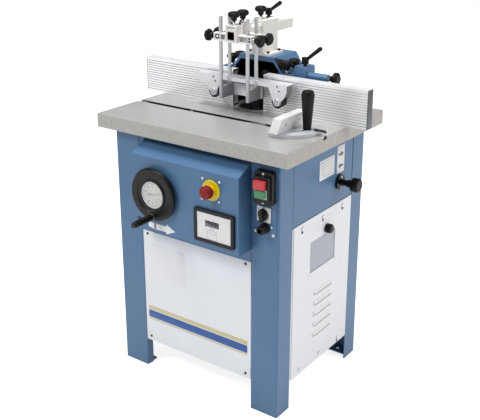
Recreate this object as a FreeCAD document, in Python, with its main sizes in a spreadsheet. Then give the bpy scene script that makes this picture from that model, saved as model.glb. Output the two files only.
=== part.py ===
import FreeCAD, Part
import Sketcher
import math
import os

# Spindle moulder: a sheet-steel cabinet on four folded legs, a cast-iron table, a spindle that
# rises and falls in the table, a hood with two ribbed fences, a pressure device above them and
# a mitre gauge in the table's slot. Millimetres; +X right along the front edge, +Y to the back,
# +Z up, floor at zero and the table centred over the origin.

# Driving dimensions in millimetres, one cell each in the sheet. A name that ends in _rise is counted from
# the table's top, and the sheet also gives the height over the floor that it makes.
SIZES = {
    # Cabinet and table
    "floor_to_top": 860, "table_length": 700, "table_depth": 550, "table_edge": 44, "table_plate": 16,
    "rim_wall": 14, "rib_wall": 9, "rib_depth": 26, "table_core": 135, "table_bevel": 2, "slot_y": -82,
    "slot_width": 19, "slot_depth": 9, "cabinet_width": 612, "cabinet_depth": 484, "sheet": 2,
    "leg_sheet": 3, "leg_face": 97, "leg_flange": 69, "leg_lip": 28, "bend": 4, "foot_thick": 6,
    "foot_reach": 44, "floor_bolt": 12, "rail": 40, "rail_sheet": 3, "skirt_gap": 100, "panel_gap": 0.5,
    "mid_rail_bottom_rise": -298, "mid_rail_top_rise": -248, "bottom_rail": 34,
    # Console, wheel and controls on the front
    "console_left": -187, "console_right": 208, "console_reach": 59, "console_bottom_rise": -327,
    "console_front_top_rise": -92, "console_back_top_rise": -60, "panel_top_rise": -366, "wheel_x": -95,
    "wheel_z_rise": -202, "wheel_radius": 82.5, "wheel_front": 80, "wheel_thick": 14, "wheel_hub": 26,
    "wheel_hub_long": 4, "dial_radius": 42, "dial_depth": 10, "dial_rim": 3.5, "dial_lip": 1.5,
    "dial_sink": 3, "wheel_groove_in": 49, "wheel_groove_out": 58, "groove_deep": 3, "wheel_round": 4,
    "crank_radius": 68, "grip_long": 80, "grip_radius": 10.5, "grip_neck": 8, "pin_radius": 4,
    "pin_head": 6.5, "pin_head_long": 4, "pin_washer": 8, "pin_washer_long": 4, "grip_gap": 0.4,
    "shaft_radius": 9, "bush_radius": 16, "bush_long": 8, "estop_x": 113, "estop_z_rise": -146,
    "estop_disc": 31, "estop_disc_thick": 3, "estop_collar": 15, "estop_collar_long": 5, "estop_stem": 9,
    "estop_head": 19.5, "estop_head_long": 20, "estop_out": 35, "estop_travel": 5, "estop_body": 22,
    "estop_body_long": 30, "display_left": 53, "display_bottom_rise": -309, "display_wide": 143,
    "display_tall": 103, "display_thick": 8, "display_frame": 11, "display_sink": 2, "display_corner": 6,
    "display_back": 26,
    # Switches on the right front leg
    "plate_left": 212, "plate_right": 297, "plate_bottom_rise": -268, "plate_top_rise": -60,
    "plate_round": 6, "switch_left": 234, "switch_wide": 60, "switch_bottom_rise": -168,
    "switch_tall": 98, "switch_deep": 20, "switch_frame_wide": 50, "switch_frame_tall": 74,
    "switch_frame_deep": 12, "switch_well": 16, "switch_corner": 8, "key_gap": 0.4, "stop_wide": 36,
    "stop_tall": 25, "stop_out": 12, "start_wide": 36, "start_tall": 21, "start_out": 7,
    "key_middle_gap": 4, "key_round": 3, "selector_x": 256, "selector_z_rise": -203, "selector_size": 46,
    "selector_thick": 4, "selector_round": 3, "selector_disc": 17, "selector_disc_long": 8,
    "wing_long": 38, "wing_wide": 10, "wing_out": 17, "gland_x": 260, "gland_z_rise": -244,
    "gland_flange": 16, "gland_flange_long": 6, "gland_radius": 13.5, "gland_long": 30, "gland_bore": 7,
    "key_back": 4,
    # Right side: lock, door, window, louvres
    "lock_z_rise": -194, "lock_flange_radius": 24, "lock_flange_long": 8, "lock_stem": 9,
    "lock_neck": 12, "lock_neck_long": 14, "lock_knob": 22, "lock_knob_long": 27, "lock_out": 72,
    "lock_travel": 15, "lock_pin": 6, "lock_tip_gap": 2, "door_front": -166, "door_back": 170,
    "door_bottom": 94, "door_top_rise": -262, "door_stand": 0.3, "door_sheet": 2, "window_front": -73,
    "window_back": 75, "window_bottom_rise": -442, "window_top_rise": -340, "window_lap": 8,
    "window_thick": 2, "door_knob_y": 20, "door_knob_z_rise": -323, "door_knob_radius": 14.5,
    "door_knob_long": 20, "latch_stem": 5, "latch_long": 34, "latch_wide": 16, "latch_thick": 3,
    "louvre_front": -46, "louvre_back": 52, "louvre_top_rise": -523, "louvre_step": 36,
    "louvre_tall": 14, "louvre_out": 8, "louvre_slit": 6, "key_top_z_rise": -280, "key_bottom_z": 110,
    "key_pitch": 118, "key_middle_y": -2, "stud_radius": 3, "stud_head": 6, "stud_head_long": 3.5,
    "key_slot_gap": 0.4, "key_lift": 8, "key_hole_gap": 0.8,
    # Spindle, quill, drive and lift
    "spindle_y": 90, "ring_outer": 95, "ring_inner": 60, "ring_thick": 8, "ring_gap": 0.3,
    "ring_shelf": 10, "boss_ring": 34, "quill_radius": 55, "quill_bottom_rise": -312,
    "quill_top_rise": -60, "quill_gap": 0.08, "plate_thick": 20, "motor_x": 150, "motor_y": -40,
    "motor_radius": 75, "motor_long": 186, "motor_shaft": 12, "motor_cap": 30, "motor_pad": 62,
    "sleeve_wall": 23, "sleeve_bottom_rise": -248, "arm_thick": 20, "head_plate": 14, "head_half": 105,
    "spindle_radius": 20, "arbor_radius": 15, "arbor_top_rise": 88, "arbor_seat_rise": -40,
    "nut_radius": 22, "nut_long": 18, "collar_radius": 24, "collar_long": 20, "bearing_radius": 39,
    "bearing_long": 20, "bearing_inset": 8, "bearing_gap": 0.02, "pulley_spindle": 32,
    "pulley_motor": 45, "pulley_long": 34, "pulley_drop": 8, "belt_thick": 6, "belt_wide": 24,
    "belt_gap": 0.3, "lock_slot": 14, "lock_slot_tall": 124, "lock_slot_up": 10, "lift_x": -95,
    "lift_y": 30, "lift_radius": 10, "lift_bottom_rise": -388, "bevel_large": 24, "bevel_small": 12,
    "bevel_gap": 0.25, "lift_boss": 26, "shaft_block": 20, "shaft_block_half": 19, "run_gap": 0.05,
    "pin_boss": 15, "pin_boss_end": 118, "thrust_gap": 0.3, "nut_gap": 0.1,
    # Hood, fences and carriers
    "fence_front": 40, "fence_thick": 30, "fence_tall": 116, "fence_left_end": -420,
    "fence_left_in": -60, "fence_right_in": 56, "fence_right_end": 414, "fence_lift": 0.5,
    "fence_wall": 5, "rib_pitch": 8, "rib_groove": 2.2, "rib_groove_deep": 1.6, "tee_z": 60,
    "tee_mouth": 9, "tee_head": 17, "tee_head_deep": 6, "tee_lip": 5, "tee_gap": 0.4,
    "tee_rail_long": 84, "hood_front": 84, "hood_back": 214, "hood_top_rise": 162, "hood_band": 16,
    "hood_top_half": 64, "hood_half": 88, "hood_shoulder_rise": 124, "hood_wall": 6,
    "flange_z_rise": 106, "flange_thick": 10, "flange_half": 132, "flange_back": 160, "base_thick": 12,
    "base_front": 164, "base_half": 128, "unit_travel": 15, "fence_stud_x": 108, "port_radius": 50,
    "port_wall": 3, "port_long": 55, "port_z_rise": 70, "port_lip": 4, "carrier_in": 92,
    "carrier_out": 200, "carrier_back": 148, "carrier_bottom": 30, "carrier_low_rise": 84,
    "carrier_gap": 0.4, "block_in": 134,
    "block_out": 174, "block_bevel": 4, "block_top_rise": 143, "block_front": 92, "stud": 5,
    "star_radius": 19, "star_long": 20, "star_scoop": 6, "star_hub": 9, "star_hub_long": 8,
    "hood_knob_x": 104, "hood_knob_front": 97, "hood_knob_back": 139, "hood_knob_lift": 12,
    "adjust_radius": 22, "adjust_shaft": 7, "adjust_z_rise": 116, "adjust_y": 112, "sleeve_radius": 11,
    "sleeve_long": 70, "lever_hub": 11, "lever_hub_long": 20, "lever_lift": 7, "lever_arm": 5,
    "lever_long": 66, "lever_x": 160, "lever_y": 112, "fence_stud": 5, "fence_nut": 9,
    "fence_nut_long": 8, "fence_stud_y": 189,
    # Pressure device
    "tube": 30, "tube_wall": 3, "tube_front": -53, "tube_back": 268, "tube_z_rise": 242,
    "slide_gap": 0.3, "column_half": 22, "column_front": 86, "column_back": 168, "column_top_rise": 274,
    "column_foot": 44, "column_foot_thick": 8, "column_bolt": 5, "column_bolt_long": 6,
    "column_bolt_edge": 10, "column_bevel": 4, "top_knob_y": 104, "top_lever_y": 148, "top_neck": 12,
    "clamp_half": 21, "clamp_deep": 34, "clamp_slot": 7, "clamp_slot_half": 14, "clamp_slot_drop": 5,
    "bar_half": 70, "bar_bottom_rise": 222, "bar_top_rise": 246, "bar_deep": 20, "bar_wall": 4,
    "bar_front_y": -36, "bar_rear_y": 9, "rod_x": 50, "rod_radius": 6, "rod_gap": 0.06,
    "rod_top_rise": 294, "rod_neck": 8, "presser_bottom_rise": 43, "presser_top_rise": 80,
    "presser_back": 29, "presser_sheet": 3, "presser_half": 62, "presser_block": 10, "shoe_left": -168,
    "shoe_right": 172, "shoe_deep": 40, "shoe_top_rise": 106, "shoe_sheet": 3, "shoe_rib": 12,
    "shoe_nose": 20, "shoe_step": 36, "shoe_step_half": 28, "lobe_half": 12.5, "lobe_top_half": 30,
    "roller_left": -100, "roller_right": 138, "roller_z_rise": 52, "roller_radius": 18.5,
    "roller_hub": 14.5, "roller_wide": 22, "roller_boss": 9, "roller_gap": 0.5, "axle": 4,
    "axle_head": 9.8, "axle_head_long": 3,
    # Mitre gauge
    "gauge_bar_left": 176, "gauge_bar_right": 345, "bar_side_gap": 0.15, "bar_float": 0.4,
    "pivot_x": 238, "pivot_pin": 7, "head_radius": 90, "head_thick": 11, "head_left": 25,
    "head_back": 33, "arc_radius": 52, "arc_half": 4.8, "facing_front": -178, "facing_long": 128,
    "facing_tall": 46, "facing_thick": 29, "facing_left": 16, "facing_lean": 16, "handle_low": 11.5,
    "handle_high": 19, "handle_long": 113, "handle_dome": 6, "handle_stud": 4, "gauge_gap": 0.3,
    "stop_rod": 3.5, "stop_left": 314, "stop_right": 349, "stop_drop": 6, "stop_knob": 5.5,
    # Shared allowances
    "overrun": 5, "wall_gap": 0.3,
}

doc = FreeCAD.newDocument("spindle_moulder")
sheet_object = doc.addObject("Spreadsheet::Sheet", "Sizes")
for row, (name, value) in enumerate(SIZES.items(), start=1):
    sheet_object.set("A%d" % row, name)
    sheet_object.set("B%d" % row, str(value))
    sheet_object.setAlias("B%d" % row, name)
rises = [name for name in SIZES if name.endswith("_rise")]
for row, name in enumerate(rises, start=len(SIZES) + 1):
    sheet_object.set("A%d" % row, name[:-len("_rise")])
    sheet_object.set("B%d" % row, "=floor_to_top + " + name)
    sheet_object.setAlias("B%d" % row, name[:-len("_rise")])
doc.recompute()


class Size:
    """A length that holds both its value and the sheet expression that it comes from."""

    def __init__(self, value, text):
        self.value = float(value)
        self.text = text

    def join(self, other, sign, value):
        return Size(value, "(%s %s %s)" % (self.text, sign, other.text))

    def __add__(self, other):
        other = size(other)
        return self.join(other, "+", self.value + other.value)

    def __sub__(self, other):
        other = size(other)
        return self.join(other, "-", self.value - other.value)

    def __mul__(self, other):
        other = size(other)
        return self.join(other, "*", self.value * other.value)

    def __truediv__(self, other):
        other = size(other)
        return self.join(other, "/", self.value / other.value)

    def __neg__(self):
        return Size(-self.value, "(0 - %s)" % self.text)

    def __radd__(self, other):
        return size(other) + self

    def __rsub__(self, other):
        return size(other) - self

    def __rmul__(self, other):
        return size(other) * self


def size(number):
    """A Size as it is, or a plain count, share or zero as a Size."""
    return number if isinstance(number, Size) else Size(number, repr(float(number)))


class Sheet:
    """Gives each cell of the sheet by its alias, as a Size."""

    def __getattr__(self, alias):
        return Size(sheet_object.get(alias), "Sizes." + alias)


S = Sheet()
NODES = []
X, Y, Z = (FreeCAD.Vector(1, 0, 0), FreeCAD.Vector(0, 1, 0), FreeCAD.Vector(0, 0, 1))


def place(thing, x, y, z, rotation=None):
    """Sets a piece's rotation and binds its position to the sheet."""
    thing.Placement = FreeCAD.Placement(FreeCAD.Vector(), rotation or FreeCAD.Rotation())
    for axis, value in zip("xyz", (x, y, z)):
        thing.setExpression("Placement.Base." + axis, size(value).text)
    return thing


def box(name, x0, x1, y0, y1, z0, z1):
    """A block between two corners."""
    block = doc.addObject("Part::Box", name)
    for edge, low, high in (("Length", x0, x1), ("Width", y0, y1), ("Height", z0, z1)):
        block.setExpression(edge, (size(high) - low).text)
    return place(block, x0, y0, z0)


def rod(name, radius, length, x, y, z, axis=Z):
    """A cylinder from a point along an axis."""
    bar = doc.addObject("Part::Cylinder", name)
    bar.setExpression("Radius", size(radius).text)
    bar.setExpression("Height", size(length).text)
    return place(bar, x, y, z, FreeCAD.Rotation(Z, axis))


def ball(name, radius, x, y, z):
    """A sphere about a point."""
    sphere = doc.addObject("Part::Sphere", name)
    sphere.setExpression("Radius", size(radius).text)
    return place(sphere, x, y, z)


def outline(body, name, plane, points, offset):
    """A closed sketch whose every corner is bound to the sheet, on one of the body's planes."""
    sketch = body.newObject("Sketcher::SketchObject", name)
    origin = [part for part in body.Origin.OriginFeatures if part.Role == plane][0]
    sketch.AttachmentSupport = [(origin, "")]
    sketch.MapMode = "FlatFace"
    sketch.setExpression("AttachmentOffset.Base.z", size(offset).text)
    corners = [(size(a), size(b)) for a, b in points]
    count = len(corners)
    for index, (a, b) in enumerate(corners):
        following = corners[(index + 1) % count]
        ends = [FreeCAD.Vector(p.value, q.value, 0) for p, q in ((a, b), following)]
        sketch.addGeometry(Part.LineSegment(*ends), False)
    for index in range(count):
        sketch.addConstraint(Sketcher.Constraint("Coincident", index, 2, (index + 1) % count, 1))
    for index, corner in enumerate(corners):
        for kind, value in zip(("DistanceX", "DistanceY"), corner):
            number = sketch.addConstraint(Sketcher.Constraint(kind, -1, 1, index, 1, value.value))
            sketch.setExpression("Constraints[%d]" % number, value.text)
    return sketch


def pad(name, plane, points, start, length, rounding=None, at=None):
    """An outline on XY, XZ or YZ pushed along the positive normal axis from start by length.

    Rounding fillets the edges along that axis: all of them, or those at the corners listed."""
    body = doc.addObject("PartDesign::Body", name)
    backwards = plane == "XZ"
    offset = -size(start) if backwards else start
    sketch = outline(body, name + "_outline", plane + "_Plane", points, offset)
    solid = body.newObject("PartDesign::Pad", name + "_pad")
    solid.Profile = sketch
    solid.Reversed = backwards
    solid.setExpression("Length", size(length).text)
    if rounding is not None:
        round_corners(body, solid, plane, rounding, at)
    return body


def round_corners(body, solid, plane, radius, at):
    """Fillets a pad's edges that run along its direction."""
    doc.recompute()
    keep = {"XY": (0, 1), "XZ": (0, 2), "YZ": (1, 2)}[plane]
    wanted = None
    if at is not None:
        wanted = [(size(a).value, size(b).value) for a, b in at]
    names = []
    for number, edge in enumerate(solid.Shape.Edges, start=1):
        ends = [vertex.Point for vertex in edge.Vertexes]
        if len(ends) != 2:
            continue
        flat = [tuple(end[k] for k in keep) for end in ends]
        if math.dist(*flat) > solid.Shape.Length * 1e-9:
            continue
        if wanted is None or any(math.dist(flat[0], spot) < size(radius).value for spot in wanted):
            names.append("Edge%d" % number)
    fillet = body.newObject("PartDesign::Fillet", body.Name + "_round")
    fillet.Base = (solid, names)
    fillet.setExpression("Radius", size(radius).text)


def turned(name, points, x, y, z, axis=Z):
    """A profile of (radius, distance along the axis) points turned about that axis."""
    body = doc.addObject("PartDesign::Body", name)
    sketch = outline(body, name + "_profile", "XZ_Plane", points, 0)
    turn = body.newObject("PartDesign::Revolution", name + "_turn")
    turn.Profile = sketch
    turn.ReferenceAxis = (sketch, ["V_Axis"])
    turn.Angle = 360
    return place(body, x, y, z, FreeCAD.Rotation(Z, axis))


def joined(name, pieces):
    """Pieces made as one solid."""
    union = doc.addObject("Part::MultiFuse", name)
    union.Shapes = pieces
    union.Refine = True
    return union


def cut(name, base, tools):
    """A solid less one tool or several."""
    result = doc.addObject("Part::Cut", name)
    result.Base = base
    result.Tool = tools[0] if len(tools) == 1 else joined(name + "_tools", tools)
    return result


def node(label, pieces):
    """Registers a sub-part: one solid, or several alike that share a file."""
    thing = pieces[0]
    if len(pieces) > 1:
        thing = doc.addObject("Part::Compound", label + "_set")
        thing.Links = pieces
    thing.Label = label
    NODES.append((label, thing))
    return thing


def ring(name, outer, inner, length, x, y, z, axis=Z):
    """A tube from a point along an axis."""
    return turned(name, [(inner, 0), (outer, 0), (outer, length), (inner, length)], x, y, z, axis)


# Places that several pieces share
half_wide = S.cabinet_width / 2
half_deep = S.cabinet_depth / 2
under_table = S.floor_to_top - S.table_edge
front_skin = -half_deep + S.leg_sheet
front_face = front_skin - S.sheet
side_skin = half_wide - S.leg_sheet
side_face = side_skin + S.sheet
door_back_face = side_face + S.door_stand
console_face = -half_deep - S.console_reach
lip_x = half_wide - S.leg_face
flange_y = half_deep - S.leg_flange


# Cabinet
def leg(name, left, back):
    """One folded corner post with its inner lip, closed at the floor by a drilled foot."""
    flip_x = -1 if left else 1
    flip_y = 1 if back else -1
    x_out, x_in = (half_wide * flip_x, lip_x * flip_x)
    y_out, y_side = (half_deep * flip_y, flange_y * flip_y)
    wall_x, wall_y = (S.leg_sheet * flip_x, S.leg_sheet * flip_y)
    y_lip = y_out - S.leg_lip * flip_y
    points = [
        (x_out, y_side), (x_out, y_out), (x_in, y_out), (x_in, y_lip), (x_in + wall_x, y_lip),
        (x_in + wall_x, y_out - wall_y), (x_out - wall_x, y_out - wall_y), (x_out - wall_x, y_side),
    ]
    post = pad(name, "XY", points, 0, under_table, S.bend, [(x_out, y_out), (x_in, y_out)])
    foot_y = y_out - wall_y - S.foot_reach * flip_y
    corners = [
        (x_in + wall_x, y_out - wall_y), (x_out - wall_x, y_out - wall_y),
        (x_out - wall_x, foot_y), (x_in + wall_x, foot_y),
    ]
    foot = pad(name + "_foot", "XY", corners, 0, S.foot_thick)
    hole = rod(
        name + "_bolt_hole", S.floor_bolt / 2, S.foot_thick + S.overrun * 2, (x_out + x_in) / 2,
        (y_out - wall_y + foot_y) / 2, -S.overrun,
    )
    return cut(name + "_post", joined(name + "_welded", [post, foot]), [hole])


def rail(name, along_x, low, high, place_out, z0, flange_up):
    """A folded angle rail between two posts, with its upright web on the outside."""
    inward = -1 if place_out.value > 0 else 1
    web = place_out + S.rail_sheet * inward
    lip = place_out + S.rail * inward
    z1 = z0 + (S.rail if flange_up else S.bottom_rail)
    if flange_up:
        points = [(place_out, z0), (place_out, z1), (lip, z1), (lip, z1 - S.rail_sheet)]
        points += [(web, z1 - S.rail_sheet), (web, z0)]
    else:
        points = [(place_out, z1), (place_out, z0), (lip, z0), (lip, z0 + S.rail_sheet)]
        points += [(web, z0 + S.rail_sheet), (web, z1)]
    if along_x:
        return pad(name, "YZ", points, low, high - low)
    return pad(name, "XZ", points, low, high - low)


legs = [
    leg("leg_%s_%s" % (b, s), s == "left", b == "rear")
    for b in ("front", "rear") for s in ("left", "right")
]
node("corner_legs", legs)

rails = []
for level, bottom, up in (("top", under_table - S.rail, True), ("bottom", S.skirt_gap, False)):
    rails.append(rail("rail_front_" + level, True, -lip_x, lip_x, front_skin, bottom, up))
    rails.append(rail("rail_rear_" + level, True, -lip_x, lip_x, -front_skin, bottom, up))
    rails.append(rail("rail_left_" + level, False, -flange_y, flange_y, -side_skin, bottom, up))
    rails.append(rail("rail_right_" + level, False, -flange_y, flange_y, side_skin, bottom, up))
rails.append(
    box("rail_right_middle", side_skin - S.rail_sheet, side_skin, -flange_y, flange_y,
        S.mid_rail_bottom, S.mid_rail_top)
)
stud_spots = [
    (S.key_middle_y + S.key_pitch * k, z)
    for k in (-1, 0, 1) for z in (S.key_top_z, S.key_bottom_z)
]
head_seat = door_back_face + S.door_sheet + S.wall_gap
for index, (y, z) in enumerate(stud_spots):
    shape = [(0, 0), (S.stud_radius, 0), (S.stud_radius, head_seat - side_skin)]
    shape += [(S.stud_head, head_seat - side_skin), (S.stud_head, head_seat - side_skin + S.stud_head_long)]
    shape += [(0, head_seat - side_skin + S.stud_head_long)]
    rails.append(turned("door_stud_%d" % index, shape, side_skin, y, z, X))
node("frame_rails", rails)

left_sheet = box("left_sheet", -side_face, -side_skin, -flange_y + S.panel_gap, flange_y - S.panel_gap,
                 S.skirt_gap, under_table)
back_sheet = box("back_sheet", -lip_x + S.panel_gap, lip_x - S.panel_gap, -front_skin, -front_face,
                 S.skirt_gap, under_table)
node("cabinet_panels", [left_sheet, back_sheet])

front_sheet = box("front_sheet", -lip_x + S.panel_gap, lip_x - S.panel_gap, front_face, front_skin,
                  S.skirt_gap, S.panel_top - S.panel_gap)
node("front_panel", [front_sheet])


# Console
def console():
    """Blue control box with a sloping top, welded to the upper front sheet."""
    inner_left, inner_right = (S.console_left + S.sheet, S.console_right - S.sheet)
    shell = pad("console_block", "YZ", [
        (console_face, S.console_bottom), (console_face, S.console_front_top),
        (front_face, S.console_back_top), (front_face, S.console_bottom),
    ], S.console_left, S.console_right - S.console_left, S.sheet, [(console_face, S.console_front_top)])
    hollow = pad("console_hollow", "YZ", [
        (console_face + S.sheet, S.console_bottom + S.sheet),
        (console_face + S.sheet, S.console_front_top - S.sheet / 2),
        (front_skin + S.overrun, S.console_back_top - S.sheet),
        (front_skin + S.overrun, S.console_bottom + S.sheet),
    ], inner_left, inner_right - inner_left)
    back = box("console_back", -lip_x + S.panel_gap, lip_x - S.panel_gap, front_face, front_skin,
               S.panel_top, under_table)
    deep = S.console_reach + S.overrun * 2
    bush = rod("console_bush", S.bush_radius, S.bush_long, S.wheel_x, console_face, S.wheel_z, Y)
    bore = rod("console_shaft_hole", S.shaft_radius + S.run_gap, deep, S.wheel_x,
               console_face - S.overrun, S.wheel_z, Y)
    estop_hole = rod("console_estop_hole", S.estop_body / 2, deep, S.estop_x,
                     console_face - S.overrun, S.estop_z, Y)
    frame = S.display_frame
    display_hole = box(
        "console_display_hole", S.display_left + frame, S.display_left + S.display_wide - frame,
        console_face - S.overrun, console_face + S.sheet + S.overrun, S.display_bottom + frame,
        S.display_bottom + S.display_tall - frame,
    )
    shell = cut("console_shell", joined("console_welded", [shell, back]), [hollow])
    return cut("console_box", joined("console_bushed", [shell, bush]), [bore, estop_hole, display_hole])


node("console_housing", [console()])

side_sheet = box("side_sheet", side_skin, side_face, -flange_y + S.panel_gap, flange_y - S.panel_gap,
                 S.door_top + S.panel_gap, under_table)
lock_hole = rod("lock_hole", S.lock_stem + S.run_gap, S.sheet + S.overrun * 2, side_skin - S.overrun,
                S.spindle_y, S.lock_z, X)
lock_flange = ring("lock_flange", S.lock_flange_radius, S.lock_stem + S.run_gap, S.lock_flange_long,
                   side_face, S.spindle_y, S.lock_z, X)
node("upper_side_plate", [cut("side_sheet_drilled", side_sheet, [lock_hole]), lock_flange])


# Table
def table():
    """Ribbed cast-iron top with a mitre slot, a ring seat over the spindle and a bracket boss."""
    half_x, half_y = (S.table_length / 2, S.table_depth / 2)
    plate_under = S.floor_to_top - S.table_plate
    corners = [(-half_x, -half_y), (half_x, -half_y), (half_x, half_y), (-half_x, half_y)]
    block = pad("table_block", "XY", corners, under_table, S.table_edge)
    doc.recompute()
    top = block.Tip
    names = []
    for number, edge in enumerate(top.Shape.Edges, start=1):
        if all(abs(vertex.Z - S.floor_to_top.value) < S.table_bevel.value for vertex in edge.Vertexes):
            names.append("Edge%d" % number)
    bevel = block.newObject("PartDesign::Chamfer", "table_bevelled")
    bevel.Base = (top, names)
    bevel.setExpression("Size", S.table_bevel.text)
    wall = S.rim_wall
    hollow = box("table_hollow", -half_x + wall, half_x - wall, -half_y + wall, half_y - wall,
                 under_table - S.overrun, plate_under)
    shell = cut("table_shell", block, [hollow])
    rib_low = plate_under - S.rib_depth
    ribs = []
    rib_shares = (-0.5, 0.5)
    for index, share in enumerate(rib_shares):
        middle = half_x * share
        ribs.append(box("table_rib_y%d" % index, middle - S.rib_wall / 2, middle + S.rib_wall / 2,
                        -half_y + wall, half_y - wall, rib_low, plate_under))
        middle = half_y * share
        ribs.append(box("table_rib_x%d" % index, -half_x + wall, half_x - wall,
                        middle - S.rib_wall / 2, middle + S.rib_wall / 2, rib_low, plate_under))
    boss = rod("table_boss", S.ring_outer + S.boss_ring, plate_under - under_table, 0, S.spindle_y,
               under_table)
    slot_land = box("table_slot_land", -half_x + wall, half_x - wall, S.slot_y - S.slot_width,
                    S.slot_y + S.slot_width, plate_under - S.slot_depth, plate_under)
    solid = joined("table_casting", [shell, boss, slot_land] + ribs)
    seat = turned("table_opening", [
        (0, -S.overrun), (S.ring_outer - S.ring_shelf, -S.overrun),
        (S.ring_outer - S.ring_shelf, S.table_edge - S.ring_thick),
        (S.ring_outer, S.table_edge - S.ring_thick), (S.ring_outer, S.table_edge + S.overrun),
        (0, S.table_edge + S.overrun),
    ], 0, S.spindle_y, under_table)
    slot = box("table_slot", -half_x - S.overrun, half_x + S.overrun, S.slot_y - S.slot_width / 2,
               S.slot_y + S.slot_width / 2, S.floor_to_top - S.slot_depth, S.floor_to_top + S.overrun)
    return cut("table_machined", solid, [seat, slot])


def portion(name, solid, x0, x1, y0, y1):
    """The part of the table's casting that lies between four upright planes."""
    kept = doc.addObject("Part::Common", name)
    kept.Base = solid
    kept.Tool = box(name + "_reach", x0, x1, y0, y1, under_table - S.overrun, S.floor_to_top + S.overrun)
    return kept


def table_sections(casting):
    """The casting as sections that meet face to face, parted at the slot and round the spindle."""
    reach_x, reach_y = (S.table_length, S.table_depth)
    slot_front, slot_back = (S.slot_y - S.slot_width / 2, S.slot_y + S.slot_width / 2)
    core = S.table_core
    core_front, core_back = (S.spindle_y - core, S.spindle_y + core)
    return [
        portion("table_front", casting, -reach_x, reach_x, -reach_y, slot_front),
        portion("table_slot_floor", casting, -reach_x, reach_x, slot_front, slot_back),
        portion("table_middle", casting, -core, core, core_front, core_back),
        portion("table_middle_front", casting, -core, core, slot_back, core_front),
        portion("table_middle_back", casting, -core, core, core_back, reach_y),
        portion("table_left", casting, -reach_x, -core, slot_back, reach_y),
        portion("table_right", casting, core, reach_x, slot_back, reach_y),
    ]


table_casting = table_sections(table())
node("table_ring", [ring("table_ring_turned", S.ring_outer - S.ring_gap, S.ring_inner, S.ring_thick,
                         0, S.spindle_y, S.floor_to_top - S.ring_thick)])


# Handwheel with its dial, shaft and crank grip
wheel_face = -half_deep - S.wheel_front
wheel_total = S.wheel_hub_long + S.wheel_thick
wheel_back = wheel_face + wheel_total
dial_floor = wheel_total - S.dial_sink - S.dial_depth
crank_z = S.wheel_z - S.crank_radius
pin_seat = S.wheel_thick / 2
arm_top = S.sleeve_bottom + S.arm_thick

wheel_disc = turned("wheel_disc", [
    (S.shaft_radius, 0), (S.wheel_hub, 0), (S.wheel_hub, S.wheel_hub_long),
    (S.wheel_radius - S.wheel_round, S.wheel_hub_long),
    (S.wheel_radius, S.wheel_hub_long + S.wheel_round), (S.wheel_radius, wheel_total - S.wheel_round),
    (S.wheel_radius - S.wheel_round, wheel_total), (S.wheel_groove_out, wheel_total),
    (S.wheel_groove_out - S.groove_deep, wheel_total - S.groove_deep),
    (S.wheel_groove_in, wheel_total - S.groove_deep), (S.wheel_groove_in, wheel_total),
    (S.dial_radius + S.wall_gap, wheel_total), (S.dial_radius + S.wall_gap, dial_floor),
    (S.shaft_radius, dial_floor),
], S.wheel_x, wheel_back, S.wheel_z, -Y)
pin_hole = rod("crank_pin_hole", S.pin_radius, pin_seat + S.overrun, S.wheel_x, wheel_face + pin_seat,
               crank_z, -Y)
node("handwheel", [cut("wheel_drilled", wheel_disc, [pin_hole])])

node("height_dial", [turned("dial_case", [
    (0, 0), (S.dial_radius, 0), (S.dial_radius, S.dial_depth),
    (S.dial_radius - S.dial_rim, S.dial_depth), (S.dial_radius - S.dial_rim, S.dial_depth - S.dial_lip),
    (0, S.dial_depth - S.dial_lip),
], S.wheel_x, wheel_back - dial_floor, S.wheel_z, -Y)])

shaft_start = wheel_back - dial_floor
pinion_back = S.lift_y - S.bevel_large
wheel_axle = rod("wheel_axle", S.shaft_radius, pinion_back - shaft_start, S.wheel_x, shaft_start,
                 S.wheel_z, Y)
pinion = turned("wheel_pinion", [
    (0, 0), (S.bevel_large - S.bevel_gap, 0),
    (S.bevel_small - S.bevel_gap, S.bevel_large - S.bevel_small), (0, S.bevel_large - S.bevel_small),
], S.wheel_x, pinion_back, S.wheel_z, Y)
grip_start = pin_seat + S.pin_washer_long + S.grip_gap
pin_end = grip_start + S.grip_long
crank_pin = turned("crank_pin", [
    (0, 0), (S.pin_radius, 0), (S.pin_radius, pin_seat), (S.pin_washer, pin_seat),
    (S.pin_washer, pin_seat + S.pin_washer_long), (S.pin_radius, pin_seat + S.pin_washer_long),
    (S.pin_radius, pin_end - S.pin_head_long), (S.pin_head, pin_end - S.pin_head_long),
    (S.pin_head, pin_end), (0, pin_end),
], S.wheel_x, wheel_face + pin_seat, crank_z, -Y)
node("wheel_shaft", [wheel_axle, pinion, crank_pin])

grip_bore = S.pin_radius + S.run_gap
head_bore = S.pin_head + S.wall_gap
head_floor = S.grip_long - S.pin_head_long - S.grip_gap
grip_low_share, grip_high_share = (0.18, 0.86)
node("crank_grip", [turned("grip_turned", [
    (grip_bore, 0), (S.grip_neck, 0), (S.grip_radius, S.grip_long * grip_low_share),
    (S.grip_radius, S.grip_long * grip_high_share), (S.grip_neck, S.grip_long),
    (head_bore, S.grip_long), (head_bore, head_floor), (grip_bore, head_floor),
], S.wheel_x, wheel_face - S.pin_washer_long - S.grip_gap, crank_z, -Y)])

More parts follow.
